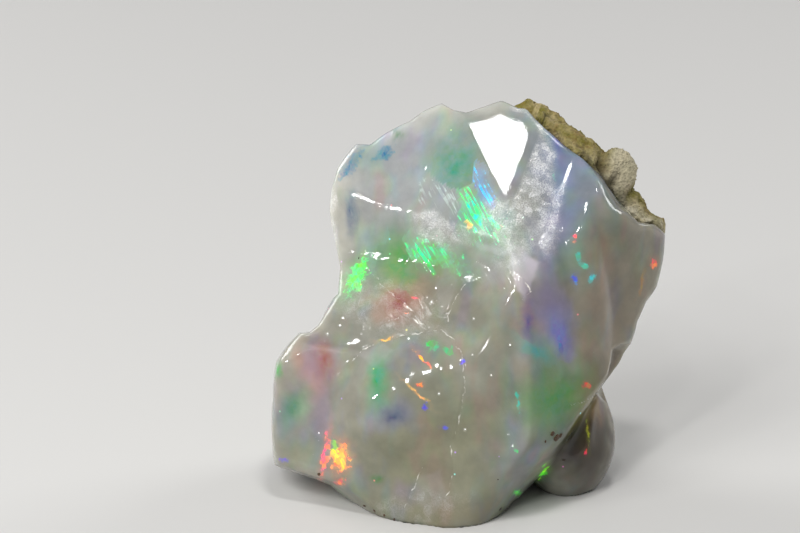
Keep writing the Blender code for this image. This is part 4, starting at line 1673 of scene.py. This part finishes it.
def make_rock():
    material, tree, shader = start_material("host_rock_finish")
    place = add_node(tree, "ShaderNodeTexCoord").outputs["Object"]
    patches = steeper(tree, cloud(tree, place, *ROCK_PATCH_CLOUD), *ROCK_PATCH_EDGE)
    rust = times(tree, steeper(tree, cloud(tree, place, *RUST_CLOUD), *RUST_EDGE), RUST_COVER)
    # Painted shade: the kept dark value darkens the low places, the pits and the groove of the rind
    # nearly to black.
    pits = times(tree, kept_value(tree, "dark"), HOLLOW_SHADE_COVER)
    colour = blend_colours(tree, patches, ROCK_BEIGE, ROCK_OLIVE)
    colour = blend_colours(tree, rust, colour, ROCK_RUST)
    colour = blend_colours(tree, kept_value(tree, "pale"), colour, ROCK_CRUST)
    colour = blend_colours(tree, pits, colour, ROCK_HOLLOW_SHADE)
    grain, height = broken_grain(tree, place, *ROCK_GRAINS)
    shade = scaled(tree, grain, *ROCK_SHADE)
    join(tree, blend_colours(tree, 1.0, colour, shade, "MULTIPLY"), shader.inputs["Base Color"])
    join(tree, scaled(tree, grain, *ROCK_DULLNESS), shader.inputs["Roughness"])
    add_bump(tree, shader, height, *ROCK_BUMP)
    return material


ROCK = make_rock()
matrix_crust.data.materials.append(ROCK)
print("rock material:", len(ROCK.node_tree.nodes), "nodes")

# %% Speck material
SPECK_BLACK = tuple(linear((28, 25, 20)))
SPECK_BROWN = tuple(linear((74, 52, 28)))
SPECK_GRAINS = (0.09, 1.6)
SPECK_CLOUD = (2.5, 2.0)
SPECK_EDGE = (0.5, 6.0)
SPECK_SHADE = (0.9, 0.5)
SPECK_DULLNESS = (0.3, 0.25)
SPECK_BUMP_DEPTH = 0.03


def make_speck_finish():
    material, tree, shader = start_material("dark_mineral")
    place = add_node(tree, "ShaderNodeTexCoord").outputs["Object"]
    grain, height = broken_grain(tree, place, *SPECK_GRAINS)
    brown = steeper(tree, cloud(tree, place, *SPECK_CLOUD), *SPECK_EDGE)
    colour = blend_colours(tree, brown, SPECK_BLACK, SPECK_BROWN)
    shade = scaled(tree, grain, *SPECK_SHADE)
    join(tree, blend_colours(tree, 1.0, colour, shade, "MULTIPLY"), shader.inputs["Base Color"])
    join(tree, scaled(tree, grain, *SPECK_DULLNESS), shader.inputs["Roughness"])
    add_bump(tree, shader, height, SPECK_BUMP_DEPTH)
    return material


DARK_MINERAL = make_speck_finish()
mineral_specks.data.materials.append(DARK_MINERAL)
print("speck material:", len(DARK_MINERAL.node_tree.nodes), "nodes")

# %% [markdown]
# ## Grains on the rind
# Loose grains of the rock cling all over the rind. There are hundreds of them, which is what
# Geometry Nodes are for: points are scattered on the rind, each gets a small angular pebble with
# its own turn and size, and the pebbles are made real at the end so that they export.

# %% Scatter the grains
GRAIN_SEED = 12
GRAINS_PER_MM2 = 5.0
GRAIN_RADIUS_MM = 0.085
LEAST_PEBBLE = (0.35, 0.35, 0.25)
LARGEST_PEBBLE = (1.5, 1.2, 0.9)
PEBBLE_TURNS = (0.6, 0.6, 2 * math.pi)
PEBBLE_FACES = 20


def make_scatter_tree():
    tree = bpy.data.node_groups.new("scattered_grains", "GeometryNodeTree")
    face = tree.interface
    face.new_socket("Geometry", in_out="INPUT", socket_type="NodeSocketGeometry")
    for name, value in (("Grains per square metre", 1.0), ("Grain radius", 0.001)):
        face.new_socket(name, in_out="INPUT", socket_type="NodeSocketFloat").default_value = value
    face.new_socket("Seed", in_out="INPUT", socket_type="NodeSocketInt").default_value = 0
    face.new_socket("Finish", in_out="INPUT", socket_type="NodeSocketMaterial")
    face.new_socket("Geometry", in_out="OUTPUT", socket_type="NodeSocketGeometry")
    inside = add_node(tree, "NodeGroupInput")
    outside = add_node(tree, "NodeGroupOutput")
    points = add_node(tree, "GeometryNodeDistributePointsOnFaces")
    pebble = add_node(tree, "GeometryNodeMeshIcoSphere")
    pebble.inputs["Subdivisions"].default_value = 1
    sizes = add_node(tree, "FunctionNodeRandomValue", data_type="FLOAT_VECTOR")
    sizes.inputs[0].default_value = LEAST_PEBBLE
    sizes.inputs[1].default_value = LARGEST_PEBBLE
    turns = add_node(tree, "FunctionNodeRandomValue", data_type="FLOAT_VECTOR")
    turns.inputs[1].default_value = PEBBLE_TURNS
    turned = add_node(tree, "FunctionNodeRotateEuler", space="LOCAL")
    placed = add_node(tree, "GeometryNodeInstanceOnPoints")
    real = add_node(tree, "GeometryNodeRealizeInstances")
    coat = add_node(tree, "GeometryNodeSetMaterial")
    join(tree, inside.outputs["Geometry"], points.inputs["Mesh"])
    join(tree, inside.outputs["Grains per square metre"], points.inputs["Density"])
    join(tree, inside.outputs["Seed"], points.inputs["Seed"])
    join(tree, inside.outputs["Grain radius"], pebble.inputs["Radius"])
    join(tree, points.outputs["Points"], placed.inputs["Points"])
    join(tree, pebble.outputs["Mesh"], placed.inputs["Instance"])
    join(tree, points.outputs["Rotation"], turned.inputs[0])
    join(tree, turns.outputs[0], turned.inputs[1])
    join(tree, turned.outputs[0], placed.inputs["Rotation"])
    join(tree, sizes.outputs[0], placed.inputs["Scale"])
    join(tree, placed.outputs["Instances"], real.inputs["Geometry"])
    join(tree, real.outputs["Geometry"], coat.inputs["Geometry"])
    join(tree, inside.outputs["Finish"], coat.inputs["Material"])
    join(tree, coat.outputs["Geometry"], outside.inputs["Geometry"])
    return tree


print("grains per square millimetre:", GRAINS_PER_MM2)

# %% Run the scatter and keep its result


def scattered_on(ground, name, values):
    """Runs the scatter tree on a copy of a piece and keeps its result as a plain mesh."""
    holder = bpy.data.objects.new(name, ground.data.copy())
    bpy.context.scene.collection.objects.link(holder)
    tree = make_scatter_tree()
    modifier = holder.modifiers.new("scatter", "NODES")
    modifier.node_group = tree
    for item in tree.interface.items_tree:
        if item.in_out == "INPUT" and item.name in values:
            modifier[item.identifier] = values[item.name]
    finished = holder.evaluated_get(bpy.context.evaluated_depsgraph_get())
    shape = bpy.data.meshes.new_from_object(finished)
    holder.modifiers.remove(modifier)
    holder.data = shape
    return holder


crust_grains = scattered_on(matrix_crust, "crust_grains", {
    "Grains per square metre": GRAINS_PER_MM2 / MM**2,
    "Grain radius": GRAIN_RADIUS_MM * MM,
    "Seed": GRAIN_SEED,
    "Finish": ROCK,
})
print("grains:", len(crust_grains.data.polygons) // PEBBLE_FACES)

# %% [markdown]
# ## Attach the pieces to the frame
# The skin and the rind replace the two plain solids. The specks and grains ride along.

# %% Riding and replacing
PIECES = {
    opal_body: ("opal", "opal"),
    matrix_crust: ("matrix", "host_rock"),
    mineral_specks: (None, "opal"),
    crust_grains: (None, "host_rock"),
}
for piece, (solid, finish_slot) in PIECES.items():
    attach(piece, "root")
    if solid:
        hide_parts(solid)
print("pieces:", [piece.name for piece in PIECES])

# %% [markdown]
# ## Table, lamps and camera
# The stone stands on a plain pale floor. A gem is only as good as what it mirrors, so the lamps
# are placed by what they do: each one stands where a named spot of the stone mirrors it into the
# camera. A broad one whitens the flat facet at the top, a small oblong one lights the fold of the
# upper face, and four small round ones make the dots on the dome. Of the three soft lamps, the two
# behind the stone draw pale rims, and the one in front is hidden from the gloss.

# %% Floor
FLOOR_SIZE = 3.0
FLOOR_COLOUR = (0.60, 0.59, 0.57)
FLOOR_ROUGHNESS = 0.6


def make_floor():
    material, tree, shader = start_material("floor_finish")
    shader.inputs["Base Color"].default_value = (*FLOOR_COLOUR, 1.0)
    shader.inputs["Roughness"].default_value = FLOOR_ROUGHNESS
    sheet = bmesh.new()
    bmesh.ops.create_grid(sheet, x_segments=1, y_segments=1, size=FLOOR_SIZE / 2)
    mesh = bpy.data.meshes.new("floor")
    sheet.to_mesh(mesh)
    sheet.free()
    mesh.materials.append(material)
    floor = bpy.data.objects.new("floor", mesh)
    bpy.context.scene.collection.objects.link(floor)
    return floor


make_floor()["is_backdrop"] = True
print("floor:", FLOOR_SIZE, "m wide")

# %% Camera
CAMERA_DISTANCE_MM = 300.0
SENSOR_MM = 36.0
FRAME_WIDTH_MM = 56.7
PHOTO_CENTRE = (-3.90, 5.21)


def make_camera():
    lens = bpy.data.cameras.new("camera")
    lens.sensor_width = SENSOR_MM
    lens.lens = SENSOR_MM * CAMERA_DISTANCE_MM / FRAME_WIDTH_MM
    camera = bpy.data.objects.new("camera", lens)
    bpy.context.scene.collection.objects.link(camera)
    target = to_stone(np.array([*PHOTO_CENTRE, 0.0]))
    camera.location = Vector((target - INWARD * CAMERA_DISTANCE_MM) * MM)
    camera.rotation_mode = "QUATERNION"
    camera.rotation_quaternion = Vector(INWARD).to_track_quat("-Z", "Y")
    bpy.context.scene.camera = camera
    return camera


camera = make_camera()
print("lens:", round(camera.data.lens), "mm")

# %% Lamps
LAMP_FAR = 260.0
MIRRORED_LAMPS = {
    "facet_lamp": ((3.1, 13.6), (42.0, 42.0), 0.22),
    "fold_lamp": ((-3.0, 8.7), (10.0, 14.0), 0.05),
}
DOME_LAMPS = [(-4.6, -3.6), (-3.3, -2.6), (-1.9, -2.35), (-1.1, -2.2)]
DOME_LAMP_SIZE = (13.0, 13.0)
DOME_LAMP_WATTS = 0.05
SOFT_LAMPS = {
    "key_lamp": ((-220.0, -280.0, 320.0), 260.0, 0.95),
    "left_back_lamp": ((-300.0, 190.0, 170.0), 180.0, 0.8),
    "right_back_lamp": ((300.0, 200.0, 190.0), 180.0, 0.6),
}
SKY = (0.20, 0.205, 0.215)


def add_lamp(name, place, target, size, watts, round_lamp=False):
    data = bpy.data.lights.new(name, "AREA")
    data.shape = "DISK" if round_lamp else "RECTANGLE"
    data.size = size[0] * MM
    if not round_lamp:
        data.size_y = size[1] * MM
    data.energy = watts
    lamp = bpy.data.objects.new(name, data)
    bpy.context.scene.collection.objects.link(lamp)
    lamp.location = Vector(place) * MM
    lamp.rotation_mode = "QUATERNION"
    lamp.rotation_quaternion = (Vector(target) - Vector(place)).to_track_quat("-Z", "Y")
    return lamp


def mirrored_place(spot):
    """Where a lamp must stand so that this spot of the stone mirrors it into the camera."""
    here, outward = front_spot(*spot)
    back = -INWARD
    away = 2 * np.dot(outward, back) * outward - back
    return here, here + away * LAMP_FAR


def light_the_stone():
    for name, (spot, size, watts) in MIRRORED_LAMPS.items():
        here, place = mirrored_place(spot)
        add_lamp(name, place, here, size, watts)
    for number, spot in enumerate(DOME_LAMPS):
        here, place = mirrored_place(spot)
        add_lamp(f"dome_lamp_{number}", place, here, DOME_LAMP_SIZE, DOME_LAMP_WATTS, True)
    for name, (place, size, watts) in SOFT_LAMPS.items():
        lamp = add_lamp(name, place, HEART, (size, size), watts)
        lamp.visible_glossy = "back" in name


def light_the_room():
    world = bpy.data.worlds.new("studio")
    world.use_nodes = True
    world.node_tree.nodes["Background"].inputs["Color"].default_value = (*SKY, 1.0)
    bpy.context.scene.world = world


light_the_stone()
light_the_room()
bpy.context.scene.view_settings.view_transform = "Standard"

# %% [markdown]
# ## Keep the sizes and finish
# Both boxes, of the plain solids and of the finished stone, are printed so that they can be
# compared. The finished stone must fill the same box as the plain solids.

# %% Sizes and the last line
SHOWN_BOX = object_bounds()
for which, box in (("plain", CAD_BOX), ("finished", SHOWN_BOX)):
    print(which, [[round(value / MM, 2) for value in corner] for corner in box])
